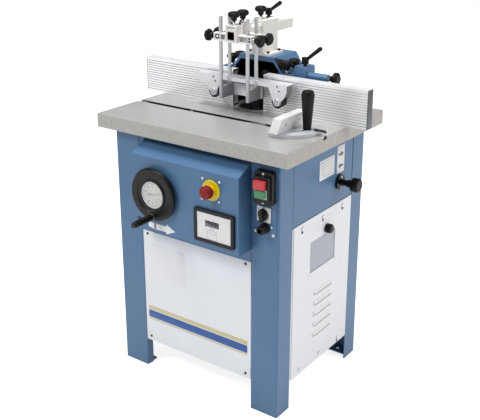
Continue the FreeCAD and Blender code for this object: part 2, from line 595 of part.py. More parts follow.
# Emergency stop and display on the console
stem_bore = S.estop_stem + S.run_gap
node("estop_collar", [turned("estop_seat", [
    (stem_bore, -S.estop_body_long), (S.estop_body / 2 - S.run_gap, -S.estop_body_long),
    (S.estop_body / 2 - S.run_gap, 0), (S.estop_disc, 0), (S.estop_disc, S.estop_disc_thick),
    (S.estop_collar, S.estop_disc_thick), (S.estop_collar, S.estop_disc_thick + S.estop_collar_long),
    (stem_bore, S.estop_disc_thick + S.estop_collar_long),
], S.estop_x, console_face, S.estop_z, -Y)])
head_start = S.estop_out - S.estop_head_long
dome_share = 0.2
node("estop_button", [turned("estop_mushroom", [
    (0, S.estop_travel - S.estop_body_long), (S.estop_stem, S.estop_travel - S.estop_body_long),
    (S.estop_stem, head_start), (S.estop_head, head_start),
    (S.estop_head, S.estop_out - S.estop_head * dome_share),
    (S.estop_head - S.estop_head * dome_share, S.estop_out), (0, S.estop_out),
], S.estop_x, console_face, S.estop_z, -Y)])


def rectangle(x0, x1, z0, z1):
    """Corner points of a rectangle."""
    return [(x0, z0), (x1, z0), (x1, z1), (x0, z1)]


display_right = S.display_left + S.display_wide
display_top = S.display_bottom + S.display_tall
bezel = pad("display_bezel", "XZ", rectangle(S.display_left, display_right, S.display_bottom, display_top),
            console_face - S.display_thick, S.display_thick, S.display_corner)
window = rectangle(
    S.display_left + S.display_frame, display_right - S.display_frame,
    S.display_bottom + S.display_frame, display_top - S.display_frame,
)
bezel_hole = pad("display_hole", "XZ", window, console_face - S.display_thick - S.overrun,
                 S.display_thick + S.overrun * 2)
screen = pad("display_screen", "XZ", rectangle(
    window[0][0] + S.run_gap, window[1][0] - S.run_gap, window[0][1] + S.run_gap, window[2][1] - S.run_gap,
), console_face - S.display_thick + S.display_sink, S.display_back)
node("display_unit", [cut("display_frame", bezel, [bezel_hole]), screen])

# Switches, selector and cable gland on the right front leg
plate_face = -half_deep - S.sheet
switch_backing = pad(
    "switch_backing", "XZ", rectangle(S.plate_left, S.plate_right, S.plate_bottom, S.plate_top),
    plate_face, S.sheet, S.plate_round,
)
switch_x = S.switch_left + S.switch_wide / 2
switch_z = S.switch_bottom + S.switch_tall / 2
switch_face = plate_face - S.switch_deep
frame_face = switch_face - S.switch_frame_deep
well_floor = frame_face + S.switch_well + S.switch_frame_deep
switch_base = pad("switch_base", "XZ", rectangle(
    S.switch_left, S.switch_left + S.switch_wide, S.switch_bottom, S.switch_bottom + S.switch_tall,
), switch_face, S.switch_deep, S.switch_corner)
switch_frame = pad("switch_frame", "XZ", rectangle(
    switch_x - S.switch_frame_wide / 2, switch_x + S.switch_frame_wide / 2,
    switch_z - S.switch_frame_tall / 2, switch_z + S.switch_frame_tall / 2,
), frame_face, S.switch_frame_deep, S.switch_corner / 2)
keys = {
    "stop": (switch_z + S.key_middle_gap / 2, S.stop_tall, S.stop_wide, S.stop_out),
    "start": (switch_z - S.key_middle_gap / 2 - S.start_tall, S.start_tall, S.start_wide, S.start_out),
}
wells, buttons = ([], {})
for name, (low, tall, wide, out) in keys.items():
    gap = S.key_gap
    wells.append(pad(name + "_well", "XZ", rectangle(
        switch_x - wide / 2 - gap, switch_x + wide / 2 + gap, low - gap, low + tall + gap,
    ), frame_face - S.overrun, well_floor - frame_face + S.overrun))
    buttons[name] = pad(name + "_key", "XZ", rectangle(
        switch_x - wide / 2, switch_x + wide / 2, low, low + tall,
    ), frame_face - out, well_floor - S.key_back * 2 - frame_face + out, S.key_round)
switch_case = cut("switch_case", joined("switch_block", [switch_base, switch_frame]), wells)
node("stop_button", [buttons["stop"]])
node("start_button", [buttons["start"]])

half_plate = S.selector_size / 2
escutcheon = pad("selector_escutcheon", "XZ", rectangle(
    S.selector_x - half_plate, S.selector_x + half_plate,
    S.selector_z - half_plate, S.selector_z + half_plate,
), plate_face - S.selector_thick, S.selector_thick, S.selector_round)
selector_bore = rod("selector_bore", S.wing_wide / 2 + S.run_gap, S.selector_thick + S.overrun * 2,
                    S.selector_x, plate_face - S.selector_thick - S.overrun, S.selector_z, Y)
node("switch_plate", [switch_backing, cut("selector_drilled", escutcheon, [selector_bore])])
selector_face = plate_face - S.selector_thick - S.wall_gap
knob_disc = turned("selector_disc", [
    (0, 0), (S.selector_disc, 0), (S.selector_disc, S.selector_disc_long / 2),
    (S.selector_disc - S.selector_disc_long / 2, S.selector_disc_long), (0, S.selector_disc_long),
], S.selector_x, selector_face, S.selector_z, -Y)
wing = pad("selector_wing", "XZ", rectangle(
    S.selector_x - S.wing_wide / 2, S.selector_x + S.wing_wide / 2,
    S.selector_z - S.wing_long / 2, S.selector_z + S.wing_long / 2,
), selector_face - S.wing_out, S.wing_out - S.selector_disc_long / 4, S.wing_wide / 3)
selector_stem = rod("selector_stem", S.wing_wide / 2, S.selector_thick, S.selector_x, selector_face,
                    S.selector_z, Y)
node("selector_knob", [joined("selector_grip", [knob_disc, wing, selector_stem])])

gland_tip_share = 0.86
gland = turned("gland_turned", [
    (S.gland_bore, 0), (S.gland_flange, 0), (S.gland_flange, S.gland_flange_long),
    (S.gland_radius, S.gland_flange_long), (S.gland_radius, S.gland_long * gland_tip_share),
    (S.gland_radius * gland_tip_share, S.gland_long), (S.gland_bore, S.gland_long),
], S.gland_x, plate_face, S.gland_z, -Y)
node("switch_housing", [switch_case, gland])

# Spindle lock on the right side
tip_x = S.spindle_radius + S.lock_tip_gap
knob_front = side_face + S.lock_out
knob_back = knob_front - S.lock_knob_long
neck_back = knob_back - S.lock_neck_long
stem_start = side_skin - S.lock_travel
knob_round = S.lock_knob / 5
lock_rod = turned("lock_rod", [
    (0, 0), (S.lock_pin, 0), (S.lock_pin, stem_start - tip_x), (S.lock_stem, stem_start - tip_x),
    (S.lock_stem, neck_back - tip_x), (0, neck_back - tip_x),
], tip_x, S.spindle_y, S.lock_z, X)
lock_knob = turned("lock_knob", [
    (0, 0), (S.lock_neck, 0), (S.lock_neck, S.lock_neck_long),
    (S.lock_knob - knob_round, S.lock_neck_long), (S.lock_knob, S.lock_neck_long + knob_round),
    (S.lock_knob, S.lock_neck_long + S.lock_knob_long - knob_round),
    (S.lock_knob - knob_round, S.lock_neck_long + S.lock_knob_long),
    (0, S.lock_neck_long + S.lock_knob_long),
], neck_back, S.spindle_y, S.lock_z, X)
node("lock_plunger", [lock_rod, lock_knob])


# Access door with keyholes, viewing window, latch knob and louvres
def door():
    """Lift-off door sheet."""
    outer = door_back_face + S.door_sheet
    through = S.door_sheet + S.overrun * 2
    start = door_back_face - S.overrun
    sheet = box("door_sheet", door_back_face, outer, S.door_front, S.door_back, S.door_bottom, S.door_top)
    holes = [box("door_window_hole", start, start + through, S.window_front, S.window_back,
                 S.window_bottom, S.window_top)]
    holes.append(rod("door_knob_hole", S.latch_stem + S.run_gap, through, start, S.door_knob_y,
                     S.door_knob_z, X))
    narrow = S.stud_radius + S.key_slot_gap
    for index, (y, z) in enumerate(stud_spots):
        name = "keyhole_%d" % index
        holes.append(rod(name + "_seat", narrow, through, start, y, z, X))
        holes.append(box(name + "_slot", start, start + through, y - narrow, y + narrow, z - S.key_lift, z))
        holes.append(rod(name + "_entry", S.stud_head + S.key_hole_gap, through, start, y, z - S.key_lift, X))
    scoops, slits = ([], [])
    louvre_count = 5
    for index in range(louvre_count):
        low = S.louvre_top - S.louvre_step * index
        lip = outer + S.louvre_out
        wide = S.louvre_back - S.louvre_front
        scoops.append(pad("louvre_%d" % index, "XZ", [
            (outer - S.door_sheet / 2, low), (lip, low), (outer - S.door_sheet / 2, low + S.louvre_tall),
        ], S.louvre_front, wide))
        inside = lip - S.door_sheet
        slits.append(pad("louvre_%d_slit" % index, "XZ", [
            (start, low - S.louvre_slit), (inside, low - S.louvre_slit), (inside, low),
            (start, low + S.louvre_tall - S.louvre_slit),
        ], S.louvre_front + S.door_sheet, wide - S.door_sheet * 2))
    return cut("door_pressed", joined("door_formed", [sheet] + scoops), holes + slits)


window_pane = box(
    "window_pane", door_back_face - S.window_thick, door_back_face, S.window_front - S.window_lap,
    S.window_back + S.window_lap, S.window_bottom - S.window_lap, S.window_top + S.window_lap,
)
node("access_door", [door(), window_pane])
latch_plane = side_skin - S.rail_sheet - S.wall_gap
latch_start = door_back_face + S.door_sheet + S.wall_gap - latch_plane
latch_round = S.door_knob_radius / 4
latch_turned = turned("latch_turned", [
    (0, -S.latch_thick), (S.latch_stem, -S.latch_thick), (S.latch_stem, latch_start),
    (S.door_knob_radius, latch_start), (S.door_knob_radius, latch_start + S.door_knob_long - latch_round),
    (S.door_knob_radius - latch_round, latch_start + S.door_knob_long), (0, latch_start + S.door_knob_long),
], latch_plane, S.door_knob_y, S.door_knob_z, X)
tongue = box(
    "latch_tongue", latch_plane - S.latch_thick, latch_plane, S.door_knob_y - S.latch_wide / 2,
    S.door_knob_y + S.latch_wide / 2, S.door_knob_z - S.latch_wide / 2, S.door_knob_z + S.latch_long,
)
node("door_knob", [joined("latch_knob", [latch_turned, tongue])])


# Spindle unit: guide bracket, quill, bearings, spindle, motor, belt and lift screw
def root(square):
    """The square root of a Size."""
    return Size(math.sqrt(square.value), "sqrt(%s)" % square.text)


def link_plate(name, first, second, z0, thick):
    """A plate with two round ends, each given as (x, y, radius)."""
    (x1, y1, r1), (x2, y2, r2) = [[size(v) for v in end] for end in (first, second)]
    run_x, run_y = (x2 - x1, y2 - y1)
    span = root(run_x * run_x + run_y * run_y)
    across_x, across_y = (-run_y / span, run_x / span)
    web = pad(name + "_web", "XY", [
        (x1 + across_x * r1, y1 + across_y * r1), (x1 - across_x * r1, y1 - across_y * r1),
        (x2 - across_x * r2, y2 - across_y * r2), (x2 + across_x * r2, y2 + across_y * r2),
    ], z0, thick)
    ends = [rod(name + "_end%d" % k, r, thick, x, y, z0) for k, (x, y, r) in enumerate((first, second))]
    return joined(name, [web] + ends)


sleeve_radius = S.quill_radius + S.sleeve_wall
sleeve_tall = under_table - S.sleeve_bottom


def slide_bracket():
    """Cast bracket under the table that guides the quill and carries the lift and lock shafts."""
    head = box("bracket_head", -S.head_half, S.head_half, S.spindle_y - S.head_half,
               S.spindle_y + S.head_half, under_table - S.head_plate, under_table)
    sleeve = rod("bracket_sleeve", sleeve_radius, sleeve_tall, 0, S.spindle_y, S.sleeve_bottom)
    arm = link_plate("bracket_arm", (0, S.spindle_y, sleeve_radius), (S.lift_x, S.lift_y, S.lift_boss),
                     S.sleeve_bottom, S.arm_thick)
    block_back = pinion_back - S.thrust_gap
    block = box("bracket_shaft_block", S.lift_x - S.shaft_block_half, S.lift_x + S.shaft_block_half,
                block_back - S.shaft_block, block_back, S.sleeve_bottom, S.wheel_z + S.shaft_block_half)
    tie = box("bracket_tie", S.lift_x - S.shaft_block_half, S.lift_x + S.shaft_block_half,
              block_back - S.shaft_block, S.lift_y, S.sleeve_bottom, arm_top)
    boss = rod("bracket_pin_boss", S.pin_boss, S.pin_boss_end - S.quill_radius, S.quill_radius,
               S.spindle_y, S.lock_z, X)
    bores = [
        rod("bracket_bore", S.quill_radius + S.quill_gap, sleeve_tall + S.overrun * 2, 0, S.spindle_y,
            S.sleeve_bottom - S.overrun),
        rod("bracket_lift_bore", S.lift_radius + S.run_gap, S.arm_thick + S.overrun * 2, S.lift_x, S.lift_y,
            S.sleeve_bottom - S.overrun),
        rod("bracket_shaft_bore", S.shaft_radius + S.run_gap, S.shaft_block + S.overrun * 2, S.lift_x,
            block_back - S.shaft_block - S.overrun, S.wheel_z, Y),
        rod("bracket_pin_bore", S.lock_pin + S.run_gap, S.pin_boss_end + S.overrun, 0, S.spindle_y,
            S.lock_z, X),
    ]
    return cut("bracket_bored", joined("bracket_casting", [head, sleeve, arm, block, tie, boss]), bores)


node("slide_bracket", [slide_bracket()])


def quill():
    """Sliding spindle housing with its foot plate for the motor and the lift nut."""
    long = S.quill_top - S.quill_bottom
    tube = rod("quill_tube", S.quill_radius, long, 0, S.spindle_y, S.quill_bottom)
    motor_arm = link_plate("quill_motor_arm", (0, S.spindle_y, S.quill_radius),
                           (S.motor_x, S.motor_y, S.motor_pad), S.quill_bottom, S.plate_thick)
    nut_arm = link_plate("quill_nut_arm", (0, S.spindle_y, S.quill_radius),
                         (S.lift_x, S.lift_y, S.lift_boss), S.quill_bottom, S.plate_thick)
    seat = S.bearing_inset + S.bearing_long
    wide, narrow = (S.bearing_radius + S.bearing_gap, S.bearing_radius - S.bearing_inset)
    bore = turned("quill_bore", [
        (0, -S.overrun), (wide, -S.overrun), (wide, seat), (narrow, seat), (narrow, long - seat),
        (wide, long - seat), (wide, long + S.overrun), (0, long + S.overrun),
    ], 0, S.spindle_y, S.quill_bottom)
    slot_low = S.lock_z + S.lock_slot_up - S.lock_slot_tall / 2
    slot = box("quill_lock_slot", 0, S.quill_radius + S.overrun, S.spindle_y - S.lock_slot / 2,
               S.spindle_y + S.lock_slot / 2, slot_low, slot_low + S.lock_slot_tall)
    through = S.plate_thick + S.overrun * 2
    low = S.quill_bottom - S.overrun
    nut = rod("quill_nut_bore", S.lift_radius + S.nut_gap, through, S.lift_x, S.lift_y, low)
    shaft = rod("quill_motor_hole", S.motor_shaft + S.wall_gap, through, S.motor_x, S.motor_y, low)
    return cut("quill_bored", joined("quill_casting", [tube, motor_arm, nut_arm]), [bore, slot, nut, shaft])


bearing_low = S.quill_bottom + S.bearing_inset
bearing_high = S.quill_top - S.bearing_inset - S.bearing_long
races = [
    ring("bearing_%d" % k, S.bearing_radius, S.spindle_radius + S.run_gap, S.bearing_long, 0, S.spindle_y, z)
    for k, z in enumerate((bearing_low, bearing_high))
]
node("quill_housing", [quill()] + races)


def pulley(name, groove, bore, x, y):
    """A flanged belt pulley under the quill's foot plate."""
    rim = groove + S.belt_thick
    side = (S.pulley_long - S.belt_wide) / 2 - S.belt_gap
    return turned(name, [
        (bore, 0), (rim, 0), (rim, side), (groove, side), (groove, S.pulley_long - side),
        (rim, S.pulley_long - side), (rim, S.pulley_long), (bore, S.pulley_long),
    ], x, y, pulley_low)


pulley_low = S.quill_bottom - S.pulley_drop - S.pulley_long
slot_low = S.lock_z + S.lock_slot_up - S.lock_slot_tall / 2
shaft_turned = turned("spindle_turned", [
    (0, 0), (S.spindle_radius, 0), (S.spindle_radius, S.arbor_seat - pulley_low),
    (S.arbor_radius, S.arbor_seat - pulley_low), (S.arbor_radius, S.arbor_top - pulley_low),
    (0, S.arbor_top - pulley_low),
], 0, S.spindle_y, pulley_low)
keyway_floor = tip_x - S.lock_travel - S.lock_tip_gap
keyway_mouth = S.spindle_radius + S.overrun
keyways = [
    box("spindle_keyway_" + side, low, high, S.spindle_y - S.lock_slot / 2, S.spindle_y + S.lock_slot / 2,
        slot_low, slot_low + S.lock_slot_tall)
    for side, low, high in (("near", keyway_floor, keyway_mouth), ("far", -keyway_mouth, -keyway_floor))
]
collar_count = 4
arbor_stack = [
    ring("spindle_collar_%d" % k, S.collar_radius, S.arbor_radius, S.collar_long, 0, S.spindle_y,
         S.arbor_seat + S.collar_long * k)
    for k in range(collar_count)
]
arbor_stack.append(ring("spindle_nut", S.nut_radius, S.arbor_radius, S.nut_long, 0, S.spindle_y,
                        S.arbor_seat + S.collar_long * collar_count))
node("spindle", [cut("spindle_shaft", shaft_turned, keyways)] + arbor_stack
     + [pulley("spindle_pulley", S.pulley_spindle, S.spindle_radius, 0, S.spindle_y)])

motor_base = S.quill_bottom + S.plate_thick
cap_share = 0.82
motor_case = turned("motor_case", [
    (0, 0), (S.motor_radius * cap_share, 0), (S.motor_radius, S.motor_cap / 2),
    (S.motor_radius, S.motor_long - S.motor_cap), (S.motor_radius * cap_share, S.motor_long),
    (0, S.motor_long),
], S.motor_x, S.motor_y, motor_base)
rotor_depth = S.motor_long / 2
motor_bore = rod("motor_bore", S.motor_shaft + S.run_gap, rotor_depth + S.overrun, S.motor_x, S.motor_y,
                 motor_base - S.overrun)
node("motor", [cut("motor_body", motor_case, [motor_bore])])
rotor = rod("motor_rotor", S.motor_shaft, motor_base + rotor_depth - S.thrust_gap - pulley_low,
            S.motor_x, S.motor_y, pulley_low)
node("motor_pulley", [rotor, pulley("motor_wheel", S.pulley_motor, S.motor_shaft, S.motor_x, S.motor_y)])

belt_low = pulley_low + (S.pulley_long - S.belt_wide) / 2


def belt_loop(name, extra, z0, thick):
    """A plate that fills the belt's loop, larger than the pulleys by a margin."""
    return link_plate(name, (0, S.spindle_y, S.pulley_spindle + extra),
                      (S.motor_x, S.motor_y, S.pulley_motor + extra), z0, thick)


belt_outside = belt_loop("belt_outside", S.belt_gap + S.belt_thick, belt_low, S.belt_wide)
belt_inside = belt_loop("belt_inside", S.belt_gap, belt_low - S.overrun, S.belt_wide + S.overrun * 2)
node("drive_belt", [cut("belt_band", belt_outside, [belt_inside])])

gear_base = arm_top + S.thrust_gap
gear_rise = S.wheel_z - S.bevel_large - gear_base
screw = rod("lift_thread", S.lift_radius, gear_base - S.lift_bottom, S.lift_x, S.lift_y, S.lift_bottom)
gear = turned("lift_gear", [
    (0, 0), (S.bevel_small, 0), (S.bevel_small, gear_rise), (S.bevel_large - S.bevel_gap, gear_rise),
    (S.bevel_small - S.bevel_gap, gear_rise + S.bevel_large - S.bevel_small),
    (0, gear_rise + S.bevel_large - S.bevel_small),
], S.lift_x, S.lift_y, gear_base)
node("lift_screw", [screw, gear])


# Knobs and levers that repeat
knob_lobes = 7
lever_tip_share = 1.35


def star_knob(name, x, y, z, axis, stud_long, neck_long, radius):
    """A lobed hand knob: a stud that enters its seat at a point, a neck and a scooped head."""
    head_low = neck_long + S.star_hub_long
    rim = radius / 6
    body = turned(name + "_turned", [
        (0, -stud_long), (S.stud, -stud_long), (S.stud, neck_long), (S.star_hub, neck_long),
        (S.star_hub, head_low), (radius - rim, head_low), (radius, head_low + rim),
        (radius, head_low + S.star_long - rim), (radius - rim, head_low + S.star_long),
        (0, head_low + S.star_long),
    ], x, y, z, axis)
    scoops = []
    turn = FreeCAD.Rotation(Z, axis)
    for index in range(knob_lobes):
        angle = 2 * math.pi * index / knob_lobes
        arm = turn.multVec(FreeCAD.Vector(math.cos(angle), math.sin(angle), 0))
        reach = radius + S.star_scoop / 2
        start = [size(p) + reach * a + head_low * b for p, a, b in zip((x, y, z), arm, axis)]
        scoops.append(rod(name + "_scoop%d" % index, S.star_scoop, S.star_long * 2, *start, axis))
    return cut(name + "_head", body, scoops)


def clamp_lever(name, x, y, z, direction, stud_long, stand):
    """A clamping lever: a stud in its seat, a hub and a round arm that rises to one side."""
    hub = turned(name + "_hub", [
        (0, -stud_long), (S.stud, -stud_long), (S.stud, stand), (S.lever_hub, stand),
        (S.lever_hub, stand + S.lever_hub_long), (0, stand + S.lever_hub_long),
    ], x, y, z)
    middle = size(z) + stand + S.lever_hub_long / 2
    along = FreeCAD.Vector(*direction).normalize()
    tip = [size(p) + S.lever_long * a for p, a in zip((x, y, middle), along)]
    arm = turned(name + "_arm", [
        (0, 0), (S.lever_arm, 0), (S.lever_arm * lever_tip_share, S.lever_long), (0, S.lever_long),
    ], x, y, middle, along)
    return joined(name + "_forged", [hub, arm, ball(name + "_ball", S.lever_arm * lever_tip_share, *tip)])


# Hood on its base, with the fixed left carrier
sole = S.floor_to_top + S.fence_lift
fence_back = S.fence_front + S.fence_thick
carrier_front = fence_back + S.carrier_gap
tee_z = sole + S.tee_z


def tee_rail(name, x0, x1):
    """The T-shaped key of a carrier that holds a fence by its slot and lets it slide."""
    neck_half, head_half = (S.tee_mouth / 2 - S.tee_gap, S.tee_head / 2 - S.tee_gap)
    head_front = fence_back - S.tee_lip - S.tee_head_deep + S.tee_gap
    head_back = fence_back - S.tee_lip - S.tee_gap
    return pad(name, "YZ", [
        (carrier_front, tee_z - neck_half), (carrier_front, tee_z + neck_half),
        (head_back, tee_z + neck_half), (head_back, tee_z + head_half), (head_front, tee_z + head_half),
        (head_front, tee_z - head_half), (head_back, tee_z - head_half), (head_back, tee_z - neck_half),
    ], x0, x1 - x0)


def hood():
    """Cast hood with sloping shoulders, open to the front and below, and a base that bolts down."""
    half, top_half, wall = (S.hood_half, S.hood_top_half, S.hood_wall)
    outer = pad("hood_block", "XZ", [
        (-half, sole), (half, sole), (half, S.hood_shoulder), (top_half, S.hood_top),
        (-top_half, S.hood_top), (-half, S.hood_shoulder),
    ], S.hood_front, S.hood_back - S.hood_front)
    inside = pad("hood_hollow", "XZ", [
        (-half + wall, sole - S.overrun), (half - wall, sole - S.overrun),
        (half - wall, S.hood_shoulder - wall / 2), (top_half - wall / 2, S.hood_top - S.hood_band),
        (-top_half + wall / 2, S.hood_top - S.hood_band), (-half + wall, S.hood_shoulder - wall / 2),
    ], S.hood_front - S.overrun, S.hood_back - wall - S.hood_front + S.overrun)
    solids = [outer]
    flange_top = S.flange_z + S.flange_thick
    for side, x0, x1 in (("left", -S.flange_half, -half + wall), ("right", half - wall, S.flange_half)):
        solids.append(box("hood_flange_" + side, x0, x1, S.hood_front, S.flange_back, S.flange_z, flange_top))
    solids.append(box("hood_base", -S.base_half, S.base_half, S.base_front, S.hood_back, sole,
                      sole + S.base_thick))
    solids.append(box("hood_left_carrier", -S.carrier_out, -half + wall, carrier_front, S.carrier_back,
                      S.floor_to_top + S.carrier_bottom, S.carrier_low))
    solids.append(box("hood_left_seat", -S.flange_half, -half + wall, carrier_front, S.carrier_back,
                      S.carrier_low, S.flange_z))
    rail_middle = (S.carrier_in + S.carrier_out) / 2
    solids.append(tee_rail("hood_left_tee", -rail_middle - S.tee_rail_long / 2,
                           -rail_middle + S.tee_rail_long / 2))
    holes = [inside]
    holes.append(rod("hood_port_hole", S.port_radius - S.port_wall, S.hood_wall + S.overrun * 2, 0,
                     S.hood_back - S.hood_wall - S.overrun, S.port_z, Y))
    slot_half = S.fence_stud + S.panel_gap
    for side in (-1, 1):
        x = S.fence_stud_x * side
        name = "hood_slot%d" % side
        holes.append(box(name, x - slot_half, x + slot_half, S.fence_stud_y - S.unit_travel - slot_half,
                         S.fence_stud_y + S.unit_travel + slot_half, sole - S.overrun,
                         sole + S.base_thick + S.overrun))
        for row, y in (("front", S.hood_knob_front), ("rear", S.hood_knob_back)):
            holes.append(rod(name + "_" + row, S.stud + S.run_gap, S.flange_thick + S.overrun,
                             S.hood_knob_x * side, y, S.flange_z, Z))
    return cut("hood_machined", joined("hood_casting", solids), holes)


node("hood", [hood()])
node("dust_port", [turned("port_turned", [
    (S.port_radius - S.port_wall, 0), (S.port_radius + S.port_lip, 0),
    (S.port_radius + S.port_lip, S.port_lip),
    (S.port_radius, S.port_lip), (S.port_radius, S.port_long), (S.port_radius - S.port_wall, S.port_long),
], 0, S.hood_back, S.port_z, Y)])
fence_studs = [
    turned("fence_stud%d" % side, [
        (0, 0), (S.fence_stud, 0), (S.fence_stud, S.fence_lift + S.base_thick + S.wall_gap),
        (S.fence_nut, S.fence_lift + S.base_thick + S.wall_gap),
        (S.fence_nut, S.fence_lift + S.base_thick + S.wall_gap + S.fence_nut_long),
        (0, S.fence_lift + S.base_thick + S.wall_gap + S.fence_nut_long),
    ], S.fence_stud_x * side, S.fence_stud_y, S.floor_to_top)
    for side in (-1, 1)
]
node("table", table_casting + fence_studs)


# Ribbed aluminium fences
def fence(name, x0, x1):
    """A hollow extrusion with grooves along its face and a T-slot in its back."""
    top = sole + S.fence_tall
    face, back = (S.fence_front, fence_back)
    count = int((S.fence_tall.value - S.rib_pitch.value) / S.rib_pitch.value)
    points = [(face, sole)]
    for index in range(count):
        low = sole + S.rib_pitch * (index + 1) - S.rib_groove / 2
        points += [(face, low), (face + S.rib_groove_deep, low)]
        points += [(face + S.rib_groove_deep, low + S.rib_groove), (face, low + S.rib_groove)]
    mouth, head = (S.tee_mouth / 2, S.tee_head / 2)
    lip, floor = (back - S.tee_lip, back - S.tee_lip - S.tee_head_deep)
    points += [
        (face, top), (back, top), (back, tee_z + mouth), (lip, tee_z + mouth), (lip, tee_z + head),
        (floor, tee_z + head), (floor, tee_z - head), (lip, tee_z - head), (lip, tee_z - mouth),
        (back, tee_z - mouth), (back, sole),
    ]
    extrusion = pad(name + "_profile", "YZ", points, x0, x1 - x0)
    wall = S.fence_wall
    chambers = []
    for row, low, high in (
        ("low", sole + wall, tee_z - head - wall), ("high", tee_z + head + wall, top - wall),
    ):
        chambers.append(box(name + "_chamber_" + row, x0 - S.overrun, x1 + S.overrun, face + wall,
                            back - wall, low, high))
    return cut(name + "_extrusion", extrusion, chambers)


node("left_fence", [fence("left", S.fence_left_end, S.fence_left_in)])
node("right_fence", [fence("right", S.fence_right_in, S.fence_right_end)])


# Adjustable right carrier with its fine-adjusting knob and clamp lever
def right_carrier():
    """Block under the hood's right flange that carries the right fence."""
    top = S.flange_z - S.carrier_gap
    body = box("carrier_body", S.carrier_in, S.carrier_out, carrier_front, S.carrier_back,
               S.floor_to_top + S.carrier_bottom, top)
    block = pad("carrier_block", "XZ", [
        (S.block_in, top - S.overrun), (S.block_out, top - S.overrun),
        (S.block_out, S.block_top - S.block_bevel),
        (S.block_out - S.block_bevel, S.block_top), (S.block_in, S.block_top),
    ], S.block_front, S.carrier_back - S.block_front)
    rail_middle = (S.carrier_in + S.carrier_out) / 2
    key = tee_rail("carrier_tee", rail_middle - S.tee_rail_long / 2, rail_middle + S.tee_rail_long / 2)
    boss = rod("carrier_boss", S.sleeve_radius, S.sleeve_long, S.block_out, S.adjust_y, S.adjust_z, X)
    bore = rod("carrier_bore", S.adjust_shaft + S.run_gap, S.sleeve_long + S.overrun + S.adjust_shaft,
               S.block_out - S.adjust_shaft, S.adjust_y, S.adjust_z, X)
    seat = rod("carrier_lever_seat", S.stud + S.run_gap, S.adjust_shaft * 2 + S.overrun, S.lever_x, S.lever_y,
               S.block_top - S.adjust_shaft * 2, Z)
    return cut("carrier_bored", joined("carrier_casting", [body, block, key, boss]), [bore, seat])


node("right_carrier", [right_carrier()])
boss_end = S.block_out + S.sleeve_long
adjust_head = star_knob("adjust", boss_end, S.adjust_y, S.adjust_z, X, S.overrun, S.lever_lift,
                        S.adjust_radius)
adjust_axle = rod("adjust_axle", S.adjust_shaft, S.sleeve_long, S.block_out, S.adjust_y, S.adjust_z, X)
node("adjust_knob", [joined("adjust_screw", [adjust_head, adjust_axle])])
lever_direction_shares = (0.78, 0, 0.63)
node("carrier_lever", [clamp_lever("carrier_lever", S.lever_x, S.lever_y, S.block_top, lever_direction_shares,
                                   S.adjust_shaft, S.lever_lift)])
for side_name, side in (("left", -1), ("right", 1)):
    for row, y in (("front", S.hood_knob_front), ("rear", S.hood_knob_back)):
        label = "hood_knob_%s_%s" % (side_name, row)
        node(label, [star_knob(label, S.hood_knob_x * side, y, S.flange_z + S.flange_thick, Z,
                               S.flange_thick - S.carrier_gap, S.hood_knob_lift, S.star_radius)])


# Pressure device: column on the hood, square arm, two cross clamps, shoe, presser and their knobs
tube_half = S.tube / 2
tube_top = S.tube_z + tube_half
stud_reach = S.column_top - tube_top - S.slide_gap


def tube_hole(name, y0, y1):
    """The square passage for the arm, with its sliding clearance."""
    gap = tube_half + S.slide_gap
    return box(name, -gap, gap, y0 - S.overrun, y1 + S.overrun, S.tube_z - gap, S.tube_z + gap)


def stud_hole(name, y):
    """A drilling from a clamp's top down to the arm."""
    return rod(name, S.stud + S.run_gap, S.column_top - S.tube_z, 0, y, S.tube_z)


def column():
    """Cast column that stands on the hood and holds the arm, with its four bolts."""
    foot_top = S.hood_top + S.column_foot_thick
    half, bevel = (S.column_half, S.column_bevel)
    foot = box("column_foot", -S.column_foot, S.column_foot, S.column_front, S.column_back, S.hood_top,
               foot_top)
    post = pad("column_post", "XZ", [
        (-half, S.hood_top), (half, S.hood_top), (half, S.column_top - bevel), (half - bevel, S.column_top),
        (bevel - half, S.column_top), (-half, S.column_top - bevel),
    ], S.column_front, S.column_back - S.column_front)
    holes = [
        tube_hole("column_tube_hole", S.column_front, S.column_back),
        stud_hole("column_knob_hole", S.top_knob_y), stud_hole("column_lever_hole", S.top_lever_y),
    ]
    bolts = []
    edge = S.column_bolt_edge
    for index, (x, y) in enumerate(
        (x, y) for x in (edge - S.column_foot, S.column_foot - edge)
        for y in (S.column_front + edge, S.column_back - edge)
    ):
        bolts.append(rod("column_bolt_%d" % index, S.column_bolt, S.column_bolt_long, x, y, foot_top))
    return [cut("column_bored", joined("column_casting", [foot, post]), holes)] + bolts


node("arm_column", column())
tube_long = S.tube_back - S.tube_front
tube_in = tube_half - S.tube_wall
arm_outside = pad("arm_outside", "XZ", rectangle(-tube_half, tube_half, S.tube_z - tube_half, tube_top),
                  S.tube_front, tube_long)
arm_inside = pad("arm_inside", "XZ", rectangle(-tube_in, tube_in, S.tube_z - tube_in, S.tube_z + tube_in),
                 S.tube_front - S.overrun, tube_long + S.overrun * 2)
node("arm_tube", [cut("arm_square", arm_outside, [arm_inside])])


